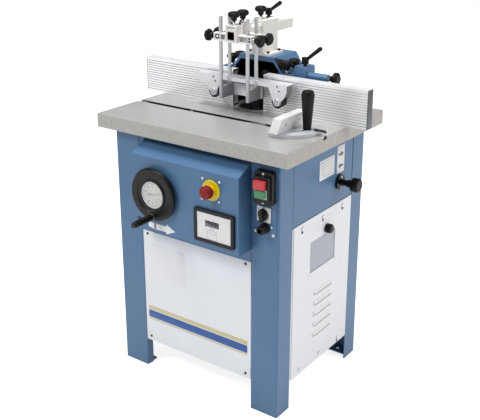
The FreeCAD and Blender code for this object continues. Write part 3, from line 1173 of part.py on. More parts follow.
def cross_clamp(name, y):
    """Clamp that rides on the arm, with a channel bar across it for two upright rods."""
    back = y + S.clamp_deep / 2
    front = y - S.clamp_deep / 2
    block = box(name + "_block", -S.clamp_half, S.clamp_half, front, back, S.bar_bottom, S.column_top)
    bar_front, bar_back = (y - S.bar_deep / 2, y + S.bar_deep / 2)
    bar = box(name + "_bar", -S.bar_half, S.bar_half, bar_front, bar_back, S.bar_bottom, S.bar_top)
    slot_top = S.column_top - S.clamp_slot_drop
    holes = [
        tube_hole(name + "_hole", front, back), stud_hole(name + "_stud_hole", y),
        box(name + "_slit", -S.clamp_slot_half, S.clamp_slot_half, front - S.overrun, front + S.clamp_slot,
            slot_top - S.clamp_slot, slot_top),
    ]
    for side in (-1, 1):
        near, far = (S.clamp_half + S.bar_wall, S.bar_half - S.bar_wall)
        ends = (near, far) if side > 0 else (-far, -near)
        holes.append(box(name + "_pocket%d" % side, ends[0], ends[1], bar_front - S.overrun,
                         bar_back - S.bar_wall, S.bar_bottom + S.bar_wall, S.bar_top - S.bar_wall))
        holes.append(rod(name + "_rod_hole%d" % side, S.rod_radius + S.rod_gap,
                         S.bar_top - S.bar_bottom + S.overrun * 2, S.rod_x * side, y,
                         S.bar_bottom - S.overrun))
        holes.append(rod(name + "_screw_hole%d" % side, S.stud + S.run_gap, S.bar_half - S.rod_x + S.overrun,
                         S.rod_x * side, y, (S.bar_bottom + S.bar_top) / 2, X * side))
    return cut(name + "_cast", joined(name + "_casting", [block, bar]), holes)


for row, y in (("front", S.bar_front_y), ("rear", S.bar_rear_y)):
    node("clamp_" + row, [cross_clamp("clamp_" + row, y)])
    node("clamp_knob_" + row, [star_knob("clamp_knob_" + row, 0, y, S.column_top, Z, stud_reach, S.top_neck,
                                         S.star_radius)])
    for side_name, side in (("left", -1), ("right", 1)):
        label = "rod_knob_%s_%s" % (row, side_name)
        reach = S.bar_half - S.rod_x - S.rod_radius - S.slide_gap
        node(label, [star_knob(label, S.bar_half * side, y, (S.bar_bottom + S.bar_top) / 2, X * side, reach,
                               S.rod_neck, S.star_radius)])
node("column_knob", [star_knob("column_knob", 0, S.top_knob_y, S.column_top, Z, stud_reach, S.top_neck,
                               S.star_radius)])
arm_lever_direction_shares = (0, 0.96, 0.28)
node("column_lever", [clamp_lever("column_lever", 0, S.top_lever_y, S.column_top, arm_lever_direction_shares,
                                  stud_reach, S.lever_lift)])


def upright_rods(name, y, bottom):
    """The pair of round rods of one cross clamp."""
    return [rod(name + "_rod%d" % side, S.rod_radius, S.rod_top - bottom, S.rod_x * side, y, bottom)
            for side in (-1, 1)]


def side_presser():
    """Spring plate in front of the cutter, carried by two spacer bars on the front rods."""
    inner = S.presser_back - S.presser_sheet
    pieces = [box("presser_plate", -S.presser_half, S.presser_half, inner, S.presser_back, S.presser_bottom,
                  S.presser_top)]
    for side in (-1, 1):
        x = S.rod_x * side
        pieces.append(box("presser_bar%d" % side, x - S.presser_block / 2, x + S.presser_block / 2,
                          S.bar_front_y, inner, S.presser_bottom, S.presser_top))
    seats = upright_rods("presser_seat", S.bar_front_y, S.presser_bottom - S.overrun)
    return cut("presser_formed", joined("presser_welded", pieces), seats)


node("side_presser", [side_presser()] + upright_rods("presser", S.bar_front_y, S.presser_bottom))

shoe_front = S.bar_rear_y - S.shoe_deep / 2
shoe_back = S.bar_rear_y + S.shoe_deep / 2
roller_spots = (("left", S.roller_left), ("right", S.roller_right))


shoe_edge = S.shoe_top - S.shoe_rib


def top_shoe():
    """Folded channel, open downwards, that lies along the fences."""
    top = S.shoe_top
    walls = [box("shoe_web", S.shoe_left, S.shoe_right, shoe_front, shoe_back, top - S.shoe_sheet, top)]
    for name, y in (("front", shoe_front), ("rear", shoe_back - S.shoe_sheet)):
        walls.append(box("shoe_wall_" + name, S.shoe_left, S.shoe_right, y, y + S.shoe_sheet, shoe_edge, top))
    return joined("shoe_channel", walls)


def shoe_lobe(name, x, end, way, y):
    """Plate welded under one wall of the channel, with a round lobe and a hole for the roller's axle."""
    plate = pad(name + "_plate", "XZ", [
        (end, shoe_edge), (end, S.shoe_top - S.shoe_nose),
        (x + S.shoe_step_half * way, S.shoe_top - S.shoe_step), (x + S.lobe_half * way, S.roller_z),
        (x - S.lobe_half * way, S.roller_z), (x - S.lobe_top_half * way, shoe_edge),
    ], y, S.shoe_sheet)
    nose = rod(name + "_nose", S.lobe_half, S.shoe_sheet, x, y, S.roller_z, Y)
    hole = rod(name + "_hole", S.axle, S.shoe_sheet + S.overrun * 2, x, y - S.overrun, S.roller_z, Y)
    return cut(name + "_drilled", joined(name + "_whole", [plate, nose]), [hole])


shoe_lobes = []
for name, y in (("front", shoe_front), ("rear", shoe_back - S.shoe_sheet)):
    shoe_lobes.append(shoe_lobe("shoe_left_" + name, S.roller_left, S.shoe_left, -1, y))
    shoe_lobes.append(shoe_lobe("shoe_right_" + name, S.roller_right, S.shoe_right, 1, y))
axles = []
for side, x in roller_spots:
    head = S.axle_head_long
    axles.append(turned("shoe_axle_" + side, [
        (0, -head), (S.axle_head, -head), (S.axle_head, 0), (S.axle, 0), (S.axle, S.shoe_deep),
        (S.axle_head, S.shoe_deep), (S.axle_head, S.shoe_deep + head), (0, S.shoe_deep + head),
    ], x, shoe_front, S.roller_z, Y))
node("top_shoe", [top_shoe()] + shoe_lobes + axles + upright_rods("shoe", S.bar_rear_y, S.shoe_top))
for side, x in roller_spots:
    span = S.shoe_deep - (S.shoe_sheet + S.roller_gap) * 2
    rim = (span - S.roller_wide) / 2
    bore = S.axle + S.run_gap
    hub = turned("roller_hub_" + side, [
        (bore, 0), (S.roller_boss, 0), (S.roller_boss, rim), (S.roller_hub, rim), (S.roller_hub, span - rim),
        (S.roller_boss, span - rim), (S.roller_boss, span), (bore, span),
    ], x, shoe_front + S.shoe_sheet + S.roller_gap, S.roller_z, Y)
    tyre = ring("roller_tyre_" + side, S.roller_radius, S.roller_hub, S.roller_wide, x,
                shoe_front + S.shoe_sheet + S.roller_gap + rim, S.roller_z, Y)
    node("shoe_roller_" + side, [hub, tyre])

# Mitre gauge in the table's slot
gauge_low = S.floor_to_top - S.slot_depth + S.bar_float
gauge_sole = S.floor_to_top + S.gauge_gap
gauge_top = gauge_sole + S.head_thick
bar_half_width = S.slot_width / 2 - S.bar_side_gap
slide_bar = box("gauge_slide", S.gauge_bar_left, S.gauge_bar_right, S.slot_y - bar_half_width,
                S.slot_y + bar_half_width, gauge_low, S.floor_to_top)
pivot = rod("gauge_pivot", S.pivot_pin, gauge_top - S.floor_to_top, S.pivot_x, S.slot_y, S.floor_to_top)
clamp_x = S.pivot_x + S.arc_radius
clamp_hole = rod("gauge_clamp_hole", S.handle_stud + S.run_gap, S.slot_depth + S.overrun, clamp_x, S.slot_y,
                 gauge_low)
node("mitre_bar", [cut("gauge_bar", joined("gauge_bar_pinned", [slide_bar, pivot]), [clamp_hole])])


def mitre_head():
    """Part-round protractor plate with an arc slot for the clamping handle."""
    low = gauge_sole - S.overrun
    through = S.head_thick + S.overrun * 2
    reach = S.head_radius + S.overrun
    disc = rod("head_disc", S.head_radius, S.head_thick, S.pivot_x, S.slot_y, gauge_sole)
    left_trim = box("head_left_trim", S.pivot_x - reach, S.pivot_x - S.head_left, S.slot_y - reach,
                    S.slot_y + reach, low, low + through)
    back_trim = box("head_back_trim", S.pivot_x - reach, S.pivot_x + reach, S.slot_y + S.head_back,
                    S.slot_y + reach, low, low + through)
    pivot_hole = rod("head_pivot_hole", S.pivot_pin + S.run_gap, through, S.pivot_x, S.slot_y, low)
    band = ring("head_arc_band", S.arc_radius + S.arc_half, S.arc_radius - S.arc_half, through, S.pivot_x,
                S.slot_y, low)
    front_share, back_share = (1.6, 0.28)
    wedge = pad("head_arc_wedge", "XY", [
        (S.pivot_x, S.slot_y), (S.pivot_x + reach, S.slot_y - reach * front_share),
        (S.pivot_x + reach, S.slot_y + reach * back_share),
    ], low, through)
    arc = doc.addObject("Part::Common", "head_arc_slot")
    arc.Base, arc.Tool = (band, wedge)
    return cut("head_plate", disc, [left_trim, back_trim, pivot_hole, arc])


facing_x = S.pivot_x - S.facing_left
facing_top = gauge_top + S.facing_tall
facing = pad("facing", "XZ", [
    (facing_x, gauge_top), (facing_x + S.facing_thick, gauge_top),
    (facing_x + S.facing_thick + S.facing_lean, facing_top), (facing_x + S.facing_lean, facing_top),
], S.facing_front, S.facing_long)
stop_z = gauge_top + S.stop_rod
stop_bent = joined("stop_bent", [
    rod("stop_run", S.stop_rod, S.stop_right - S.stop_left, S.stop_left, S.slot_y, stop_z, X),
    ball("stop_elbow", S.stop_rod, S.stop_right, S.slot_y, stop_z),
    rod("stop_down", S.stop_rod, S.stop_drop, S.stop_right, S.slot_y, stop_z - S.stop_drop),
    ball("stop_end", S.stop_knob, S.stop_right, S.slot_y, stop_z - S.stop_drop),
])
node("mitre_head", [mitre_head(), facing, stop_bent])
handle_base = gauge_top + S.gauge_gap - S.floor_to_top + S.slot_depth - S.bar_float
stud_start = S.bar_float
node("mitre_handle", [turned("handle_turned", [
    (0, stud_start), (S.handle_stud, stud_start), (S.handle_stud, handle_base), (S.handle_low, handle_base),
    (S.handle_high, handle_base + S.handle_long - S.handle_dome * 2),
    (S.handle_high - S.handle_dome / 2, handle_base + S.handle_long - S.handle_dome / 2),
    (S.handle_high - S.handle_dome, handle_base + S.handle_long), (0, handle_base + S.handle_long),
], clamp_x, S.slot_y, gauge_low)])


# Build, check and write every sub-part
doc.recompute()
faults = [thing.Label for thing in doc.Objects if {"Invalid", "Error"} & set(thing.State)]
faults += [label for label, thing in NODES if thing.Shape.isNull() or not thing.Shape.isValid()]
if faults:
    raise RuntimeError("failed: " + ", ".join(faults))
os.makedirs("parts", exist_ok=True)
for label, thing in NODES:
    thing.Shape.exportStep(os.path.join("parts", label + ".step"))
print("%d sub-parts, %d solids" % (len(NODES), sum(len(thing.Shape.Solids) for _, thing in NODES)))
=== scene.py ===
import math
from types import SimpleNamespace

import bpy
import numpy as np
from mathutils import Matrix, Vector


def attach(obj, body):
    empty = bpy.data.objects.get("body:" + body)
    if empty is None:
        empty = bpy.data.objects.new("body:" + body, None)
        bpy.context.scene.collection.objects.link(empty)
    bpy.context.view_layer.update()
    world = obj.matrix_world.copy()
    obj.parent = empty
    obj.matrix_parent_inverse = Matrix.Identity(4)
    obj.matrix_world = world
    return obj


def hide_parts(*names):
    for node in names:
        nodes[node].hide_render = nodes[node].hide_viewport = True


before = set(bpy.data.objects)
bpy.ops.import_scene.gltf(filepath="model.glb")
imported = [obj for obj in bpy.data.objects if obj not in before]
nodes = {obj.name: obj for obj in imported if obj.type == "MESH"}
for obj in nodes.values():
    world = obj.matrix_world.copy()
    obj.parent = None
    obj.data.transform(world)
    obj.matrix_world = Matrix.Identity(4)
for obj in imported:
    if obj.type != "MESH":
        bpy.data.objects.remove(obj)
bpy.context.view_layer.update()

# Places that several pieces share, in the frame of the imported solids. Lengths are in millimetres unless a
# comment says metres
MM = 0.001
X, Y, Z = (np.array(v, float) for v in ((1, 0, 0), (0, 1, 0), (0, 0, 1)))
FRONT, RIGHT = (-Y, X)
# Faces that look to the front, and faces that look to the right
PANEL_Y, SWITCH_Y, HOUSING_Y, CONSOLE_Y, DISPLAY_Y, BEZEL_Y = (-241, -244, -264, -301, -307, -309)
SIDE_X, LABEL_X, WINDOW_X, LOCK_X, LOUVRE_X = (305, 305.5, 307.3, 313, 314.2)
# Table, mitre slot and gauge; the spindle's axis and a radius just past its arbor
TABLE_TOP, SLOT_Y, GAUGE_PLATE_TOP = (860, -82, 871.3)
SPINDLE_Y, ARBOR_REACH = (90, 15.1)
# The two rows of clamps with their pairs of rods, a radius just past a rod, and the knobs' seats
ROWS = (("front", -36), ("rear", 9))
ROD_X, ROD_REACH, CLAMP_TOP = (50, 6.05, 1134)
HOOD_KNOB_SEAT = 976
# The rollers' axes
ROLLERS = (("left", -100), ("right", 138))
ROLLER_Z = 912
# Points on each corner of a rounded rectangle
CORNER_STEPS = 6


# Shapes as whole arrays
def ring_angles(count):
    """Equal angles round a full turn, without the repeated last one."""
    return np.arange(count) * (2 * math.pi / count)


def facing(local, at, axis, roll=0.0):
    """Turns points so that local z lies along an axis, rolls them about it and moves them to a place."""
    axis = np.asarray(axis, float) / np.linalg.norm(axis)
    across = np.cross(Z, axis)
    if np.linalg.norm(across) < 1e-6:
        across = X
    across = across / np.linalg.norm(across)
    up = np.cross(axis, across)
    c, s = math.cos(roll), math.sin(roll)
    x = local[..., 0:1] * c - local[..., 1:2] * s
    y = local[..., 0:1] * s + local[..., 1:2] * c
    return np.asarray(at, float) + x * across + y * up + local[..., 2:3] * axis


def new_mesh(name, points, faces, material, body, smooth=True):
    """One finished piece: points in millimetres, faces as rows of indices, riding on a body."""
    mesh = bpy.data.meshes.new(name)
    mesh.from_pydata((np.asarray(points, float).reshape(-1, 3) * MM).tolist(), [], [list(f) for f in faces])
    mesh.polygons.foreach_set("use_smooth", np.full(len(mesh.polygons), smooth))
    mesh.validate()
    piece = bpy.data.objects.new(name, mesh)
    bpy.context.scene.collection.objects.link(piece)
    mesh.materials.append(material)
    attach(piece, body)
    return piece


def lattice(rows, columns, wrap_rows=False, start=0):
    """Four-sided faces over a grid of rows by columns, closed along its columns and, if asked, its rows."""
    last = rows if wrap_rows else rows - 1
    i, j = np.meshgrid(np.arange(last), np.arange(columns), indexing="ij")
    n, k = (i + 1) % rows, (j + 1) % columns
    quads = np.stack([i * columns + j, i * columns + k, n * columns + k, n * columns + j], axis=-1)
    return quads.reshape(-1, 4) + start


def capped(rows, columns, start=0):
    """The faces of a grid closed round its columns, its first and last rows filled by one face each."""
    faces = [list(f) for f in lattice(rows, columns, start=start)]
    faces.append([start + c for c in range(columns)][::-1])
    faces.append([start + (rows - 1) * columns + c for c in range(columns)])
    return faces


def bundle(name, grids, material, body, smooth=False):
    """Many closed grids of one size as a single piece."""
    rows, columns = grids[0].shape[:2]
    points = np.concatenate([grid.reshape(-1, 3) for grid in grids])
    faces = [f for n in range(len(grids)) for f in capped(rows, columns, n * rows * columns)]
    return new_mesh(name, points, faces, material, body, smooth)


def repeated(name, grid, places, material, body):
    """The same closed grid set at many places; each place is a point, an axis and a roll."""
    grids = [facing(grid, at, axis, roll) for at, axis, roll in places]
    return bundle(name, grids, material, body, smooth=True)


def turned_grid(profile, count=48, wave=None):
    """A profile of radius and height carried round the z axis; wave gives a factor on the radius by angle."""
    profile = np.asarray(profile, float)
    a = ring_angles(count)
    shape = np.ones((len(profile), count)) if wave is None else wave(a[None, :], profile)
    r = profile[:, 0:1] * shape
    z = np.repeat(profile[:, 1:2], count, axis=1)
    return np.stack([r * np.cos(a), r * np.sin(a), z], axis=-1)


def turned(name, profile, at, axis, material, body, count=48, wave=None):
    """A turned piece, open profile ends closed by a face each."""
    grid = turned_grid(profile, count, wave)
    return new_mesh(name, facing(grid, at, axis), capped(len(profile), count), material, body)


def at_height(loop, height):
    """A flat loop of points set at one height."""
    return np.concatenate([loop, np.full((len(loop), 1), float(height))], axis=1)


def rounded_loop(wide, tall, corner):
    """A rectangle's outline with round corners, counter-clockwise about its middle."""
    a = np.linspace(0, math.pi / 2, CORNER_STEPS)
    arc = np.stack([np.cos(a), np.sin(a)], axis=-1) * corner
    inner = np.array([wide / 2 - corner, tall / 2 - corner])
    quarter = [arc + inner]
    for sx, sy, flip in ((-1, 1, True), (-1, -1, False), (1, -1, True)):
        side = (arc + inner) * np.array([sx, sy])
        quarter.append(side[::-1] if flip else side)
    return np.concatenate(quarter)


def slab_grid(wide, tall, corner, levels):
    """A rounded rectangle carried up a list of inset and height, so its edges can be rounded or stepped."""
    return np.stack([
        at_height(rounded_loop(wide - 2 * inset, tall - 2 * inset, max(corner - inset, 0.2)), height)
        for inset, height in levels
    ])


def slab(name, wide, tall, corner, levels, at, axis, material, body):
    """A rounded plate standing on a face."""
    grid = slab_grid(wide, tall, corner, levels)
    return new_mesh(name, facing(grid, at, axis), capped(len(levels), grid.shape[1]), material, body)


def frame_ring(name, wide, tall, border, high, at, axis, material, body):
    """A rounded rectangular frame: an outer and an inner outline at two heights, joined all round."""
    inner_wide, inner_tall = (wide - 2 * border, tall - 2 * border)
    loops = [(wide, tall, 0), (wide, tall, high), (inner_wide, inner_tall, high), (inner_wide, inner_tall, 0)]
    grid = np.stack([at_height(rounded_loop(w, t, 2.0), h) for w, t, h in loops])
    faces = lattice(*grid.shape[:2], wrap_rows=True)
    return new_mesh(name, facing(grid, at, axis), faces, material, body, smooth=False)


def flat_shape(name, outline, at, axis, material, body, thick=0.3):
    """A flat outline in the plane of a face, raised by its thickness."""
    loop = np.asarray(outline, float)
    grid = np.stack([at_height(loop, h) for h in (0.0, thick)])
    return new_mesh(name, facing(grid, at, axis), capped(2, len(loop)), material, body, smooth=False)


def print_on(name, wide, tall, at, axis, material, body, thick=0.25, corner=0.4):
    """A thin printed or film patch that stands a little off its face."""
    levels = [(0, 0), (0, thick * 0.7), (min(0.15, wide / 8, tall / 8), thick)]
    return slab(name, wide, tall, corner, levels, at, axis, material, body)


def drawn_line(name, path, at, axis, material, body, closed=False, width=0.7, thick=0.2):
    """A printed line: a path in a face's plane widened to both sides and raised a little."""
    path = np.asarray(path, float)
    ahead = np.roll(path, -1, axis=0) - np.roll(path, 1, axis=0) if closed else np.gradient(path, axis=0)
    side = np.stack([-ahead[:, 1], ahead[:, 0]], axis=1)
    side *= width / 2 / np.maximum(np.linalg.norm(side, axis=1, keepdims=True), 1e-9)
    rows = np.stack([path + side, path - side, path - side, path + side])
    heights = np.array([thick, thick, 0.0, 0.0])[:, None] * np.ones(len(path))
    grid = np.concatenate([rows, heights[..., None]], axis=-1).transpose(1, 0, 2)
    faces = [list(f) for f in lattice(len(path), 4, wrap_rows=closed)]
    if not closed:
        faces += [[3, 2, 1, 0], [4 * len(path) - 4 + c for c in range(4)]]
    return new_mesh(name, facing(grid, at, axis), faces, material, body, False)


# Materials
def linear(code):
    """An sRGB hex colour as linear red, green, blue and alpha."""
    parts = np.array([int(code[i:i + 2], 16) for i in (1, 3, 5)]) / 255
    low, high = parts / 12.92, ((parts + 0.055) / 1.055) ** 2.4
    return (*np.where(parts <= 0.04045, low, high).tolist(), 1.0)


def add(tree, kind, inputs=None, **settings):
    """Adds one node with its settings; an input is a value or the socket that feeds it."""
    made = tree.nodes.new(kind)
    for key, value in settings.items():
        setattr(made, key, value)
    for key, value in (inputs or {}).items():
        if isinstance(value, bpy.types.NodeSocket):
            tree.links.new(value, made.inputs[key])
        else:
            made.inputs[key].default_value = value
    return made


def per_mm(millimetres):
    """Texture scale that gives features of about this size."""
    return 1000.0 / millimetres


def blank(name):
    """A new material with its node tree and its shader node."""
    material = bpy.data.materials.new(name)
    material.use_nodes = True
    tree = material.node_tree
    return material, tree, tree.nodes["Principled BSDF"]


def finish(name, light, dark, patch_mm, rough, grain_mm, bump_mm, stretch=(1, 1, 1), **sockets):
    """
    A surface whose colour drifts between two tones in soft patches and whose fine grain gives both the bump
    and a slight change of roughness. stretch draws the grain out along an axis, as grinding or brushing does.
    """
    material, tree, shader = blank(name)
    place = add(tree, "ShaderNodeTexCoord").outputs["Object"]
    drawn = add(tree, "ShaderNodeMapping", {"Vector": place, "Scale": stretch}).outputs["Vector"]
    patch = add(tree, "ShaderNodeTexNoise", {"Vector": drawn, "Scale": per_mm(patch_mm), "Detail": 4.0})
    grain = add(tree, "ShaderNodeTexNoise", {"Vector": drawn, "Scale": per_mm(grain_mm), "Detail": 3.0})
    tone = add(tree, "ShaderNodeMixRGB", {
        "Fac": patch.outputs["Fac"], "Color1": linear(light), "Color2": linear(dark)})
    gloss = add(tree, "ShaderNodeMapRange", {
        "Value": grain.outputs["Fac"], "From Min": 0.3, "From Max": 0.7,
        "To Min": max(rough - 0.05, 0.02), "To Max": min(rough + 0.05, 1.0)})
    relief = add(tree, "ShaderNodeBump", {
        "Height": grain.outputs["Fac"], "Strength": 1.0, "Distance": bump_mm * MM})
    tree.links.new(tone.outputs[0], shader.inputs["Base Color"])
    tree.links.new(gloss.outputs[0], shader.inputs["Roughness"])
    tree.links.new(relief.outputs[0], shader.inputs["Normal"])
    for socket, value in sockets.items():
        shader.inputs[socket.replace("_", " ")].default_value = value
    return material


# Grain drawn out along the table's and fences' length, their depth, or upright
GROUND_LONG, DRAWN_LONG, DRAWN_DEEP = ((0.03, 1, 1), (0.04, 1, 1), (1, 0.04, 1))
UPRIGHT, UPRIGHT_SHORT = ((1, 1, 0.05), (1, 1, 0.2))

# Powder-coated sheet steel: an even satin with a faint orange peel
blue_coat = finish("powder_coat_blue", "#4F769D", "#456A8F", 160, 0.42, 2.2, 0.02)
white_coat = finish("powder_coat_white", "#F1F3F7", "#E8EBF0", 180, 0.45, 1.6, 0.02)
# The same white, brighter: painted highlight on the louvres' upward faces, where they catch the light from
# above
louvre_painted_highlight = finish("powder_coat_white_painted_highlight", "#FEFEFF", "#F8F9FB", 120, 0.4, 1.6, 0.02)
# Ground cast iron: fine lines along the table, satin reflections
ground_iron = finish("ground_cast_iron", "#BDBDBB", "#B4B4B2", 90, 0.32, 2.4, 0.0008, GROUND_LONG,
                     Metallic=0.4)
# The loose ring in the table: finer ground, and darker as painted shade and painted reflection of the dark
# throat under the fence
shaded_ring_iron = finish("ground_ring_iron", "#A2A2A2", "#999999", 90, 0.28, 2.4, 0.0008, GROUND_LONG, Metallic=0.4)
# Milled sides of the casting: warm, speckled and dull
skirt_iron = finish("milled_cast_iron", "#CCC9C5", "#928F8B", 3.2, 0.55, 1.8, 0.1, UPRIGHT_SHORT,
                    Metallic=0.15)
# Castings left as they came from the sand: dark and rough
raw_iron = finish("raw_cast_iron", "#6A6966", "#54534F", 20, 0.75, 3.0, 0.25, Metallic=0.3)
# Clear anodised light alloy, drawn through a die along its length: a pale silky face
anodised = finish("anodised_aluminium", "#FAFBFC", "#EFF0F2", 40, 0.36, 0.8, 0.006, DRAWN_LONG, Metallic=0.45)
# The same alloy a tone darker: painted shade down in the fences' grooves, and the grey of the gauge's plate
grey_alloy_and_groove_shade = finish("shaded_groove_alloy", "#C6C9CD", "#B8BBC0", 40, 0.5, 0.8, 0.006, DRAWN_LONG,
                      Metallic=0.3)
# Painted shade on the right-facing sides of the presser's cheeks: a mid grey that sets them off from the plate
presser_side_shade = finish("presser_side_painted_shade", "#9A9CA0", "#8C8E92", 12, 0.5, 0.9, 0.01, UPRIGHT, Metallic=0.3)
# Freshly cut end of the gauge's facing: nearly white
bright_alloy = finish("satin_alloy", "#FBFBFC", "#F2F3F4", 40, 0.4, 0.8, 0.006, DRAWN_DEEP, Metallic=0.15)
# Light grey painted castings: warm, soft gloss
pale_paint = finish("pale_grey_paint", "#EDEBE7", "#E2E0DC", 40, 0.42, 1.8, 0.02)
# Drawn rods: a smooth round glint with darker flanks
rod_steel = finish("drawn_rod_steel", "#C2C4C7", "#B4B6B9", 25, 0.3, 1.6, 0.0004, UPRIGHT, Metallic=0.85)
# Ground shafts and studs: sharp glints
bright_steel = finish("ground_steel", "#CFD0D2", "#B9BBBE", 25, 0.24, 0.7, 0.004, Metallic=1.0)
# Zinc plating: pale, with a slight cloudiness
zinc_sheet = finish("zinc_plated_sheet", "#E8E9EC", "#DBDDE1", 18, 0.36, 1.4, 0.008, Metallic=0.4)
# Blackened steel, and painted shade on insides that lie in the dark
dark_steel_and_painted_shade = finish("black_oxide_steel_and_painted_shade", "#2C2C2E", "#1E1E20", 12, 0.42, 0.8, 0.01, Metallic=0.5)
# Glass-filled nylon knobs and ABS covers: deep black with a fine moulded grain
black_nylon = finish("black_nylon", "#0D0D0E", "#09090A", 25, 0.42, 0.9, 0.02, Specular_IOR_Level=0.18)
black_abs = finish("black_abs", "#0E0E0F", "#0A0A0B", 30, 0.38, 0.7, 0.01, Specular_IOR_Level=0.25)
# Tyres and belt: dull black
rubber = finish("black_rubber", "#1D1D1D", "#151515", 18, 0.62, 1.0, 0.03)
# Coloured switch plastics: clear strong colours with a soft gloss
yellow_abs = finish("yellow_abs", "#EFD505", "#E4C800", 20, 0.34, 0.8, 0.008)
red_abs = finish("red_abs", "#86151B", "#761116", 20, 0.42, 0.8, 0.008, Specular_IOR_Level=0.25)
key_red = finish("key_red_abs", "#CE3B3E", "#C03236", 16, 0.34, 0.8, 0.008)
key_green = finish("key_green_abs", "#3E8F5E", "#348252", 16, 0.34, 0.8, 0.008)
white_abs = finish("white_abs", "#ECECEC", "#E2E3E4", 30, 0.35, 0.8, 0.006)
# Dark strips of painted shade that draw the joint line between plate and legs
seam_painted_shade = finish("painted_seam_shade", "#22303F", "#1C2936", 20, 0.6, 0.9, 0.01)
# Dial card, printing inks, end caps and label films: flat and matt
dial_card = finish("printed_dial_card", "#DAD9D6", "#D1D0CC", 30, 0.4, 0.9, 0.004)
print_black = finish("black_print", "#202124", "#2A2B2E", 14, 0.5, 0.8, 0.004)
print_grey = finish("grey_print", "#8A8F96", "#7C8188", 14, 0.5, 0.8, 0.004)
# This grey of the end caps also serves as painted shade under the louvres and in the axle heads' hollows
grey_cap_and_painted_shade = finish("grey_end_cap_and_painted_shade", "#5B5D61", "#525458", 20, 0.5, 0.8, 0.004)
label_film = finish("matt_label_film", "#EFF0F2", "#E6E8EB", 30, 0.4, 0.9, 0.004)
band_cream = finish("cream_label_film", "#D9CFA9", "#CFC49B", 30, 0.42, 0.9, 0.004)
band_blue = finish("blue_label_film", "#2F5BA4", "#284F93", 30, 0.42, 0.9, 0.004)
# Grey acrylic window and display glass: smooth, with a clear top coat
smoked_pane = finish("grey_acrylic", "#969FAC", "#8D96A4", 60, 0.18, 1.2, 0.002, Coat_Weight=0.5)
lcd_glass = finish("display_glass", "#23282B", "#1C2023", 20, 0.08, 1.0, 0.001, Coat_Weight=0.6)
# Dark machine paint on the motor
motor_paint = finish("motor_paint", "#2D3640", "#252D36", 40, 0.45, 2.0, 0.03)


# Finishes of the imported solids
def dress(name, base, *others, edge=0.8):
    """
    Gives a solid its finishes and rounds its edges by a width, or leaves them sharp and flat for none. Each
    other finish comes with a test on the faces' middles (x, y, z) and normals (nx, ny, nz).
    """
    solid = nodes[name]
    mesh = solid.data
    count = len(mesh.polygons)
    middle, normal = np.empty(count * 3), np.empty(count * 3)
    mesh.polygons.foreach_get("center", middle)
    mesh.polygons.foreach_get("normal", normal)
    x, y, z = (middle.reshape(-1, 3) / MM).T
    nx, ny, nz = normal.reshape(-1, 3).T
    faces = SimpleNamespace(x=x, y=y, z=z, nx=nx, ny=ny, nz=nz)
    which = np.zeros(count, dtype=np.int32)
    mesh.materials.clear()
    mesh.materials.append(base)
    for index, (material, test) in enumerate(others, start=1):
        mesh.materials.append(material)
        which[test(faces)] = index
    mesh.polygons.foreach_set("material_index", which)
    mesh.polygons.foreach_set("use_smooth", np.full(count, bool(edge)))
    weld = solid.modifiers.new("weld", "WELD")
    weld.merge_threshold = 1e-5
    if edge:
        bevel = solid.modifiers.new("edges", "BEVEL")
        bevel.width = edge * MM
        bevel.segments = 2
        bevel.limit_method = "ANGLE"
        bevel.angle_limit = math.radians(35)
        bevel.use_clamp_overlap = False
        bevel.harden_normals = True
    even = solid.modifiers.new("even", "WEIGHTED_NORMAL")
    even.keep_sharp = True


def near(f, at_x, at_y, radius):
    """Faces within a radius of an upright axis, which is repeated on both sides of the middle plane."""
    return np.hypot(np.abs(f.x) - at_x, f.y - at_y) < radius


def window(f):
    """The door's pane, set back behind the sheet."""
    return (f.x < 305.2 + 0.2 * (f.nx > 0.5)) & (np.abs(f.z - 469) < 62) & (np.abs(f.y - 1) < 84)


def hood_inside_painted_shade(f):
    """The hood's inner walls, up to just under its roof, which get painted shade."""
    return (np.abs(f.x) < 82.3) & (f.y > 84.5) & (f.y < 208.3) & (f.z < 1006.5)


def slot_painted_shade(f):
    """Floor and walls of the mitre slot, which get painted shade."""
    return (np.abs(f.y - SLOT_Y) < 9.6) & (f.z > 850.9) & (f.z < TABLE_TOP - 0.1)


def gauge_facing(f):
    """The straight facing on the gauge's plate."""
    return (f.z > GAUGE_PLATE_TOP + 0.05) & (f.x < 300)


for name in ("corner_legs", "right_carrier", "dust_port"):
    dress(name, blue_coat, edge=1.0)
dress("console_housing", blue_coat, edge=0)
# The hood's inner walls get dark steel as painted shade
dress("hood", blue_coat, (dark_steel_and_painted_shade, hood_inside_painted_shade), edge=1.0)
dress("handwheel", black_abs, edge=0.8)
for name in ("cabinet_panels", "front_panel"):
    dress(name, white_coat, edge=0.5)
dress("upper_side_plate", blue_coat, (black_abs, lambda f: f.x > SIDE_X + 0.1), edge=0)
# The louvres' upward faces get a brighter white as painted highlight
dress("access_door", white_coat, (smoked_pane, window), (louvre_painted_highlight, lambda f: (f.x > 307.5) & (f.nz > 0.2)),
      edge=0)
for name in ("clamp_front", "clamp_rear"):
    dress(name, pale_paint, edge=1.0)
dress("arm_column", pale_paint, (dark_steel_and_painted_shade, lambda f: (np.abs(f.x) > 28) & (f.z > 1030.1)), edge=0.8)
# The hollow tube's inside gets painted shade
dress("arm_tube", pale_paint, (dark_steel_and_painted_shade, lambda f: (np.abs(f.x) < 12.1) & (np.abs(f.z - 1102) < 12.1)),
      edge=0.8)
# The mitre slot's floor and walls get painted shade; the studs above the top are dark steel
dress("table", skirt_iron, (ground_iron, lambda f: f.nz > 0.6), (raw_iron, lambda f: f.nz < -0.6),
      (dark_steel_and_painted_shade, lambda f: f.z > TABLE_TOP + 0.5), (dark_steel_and_painted_shade, slot_painted_shade), edge=0)
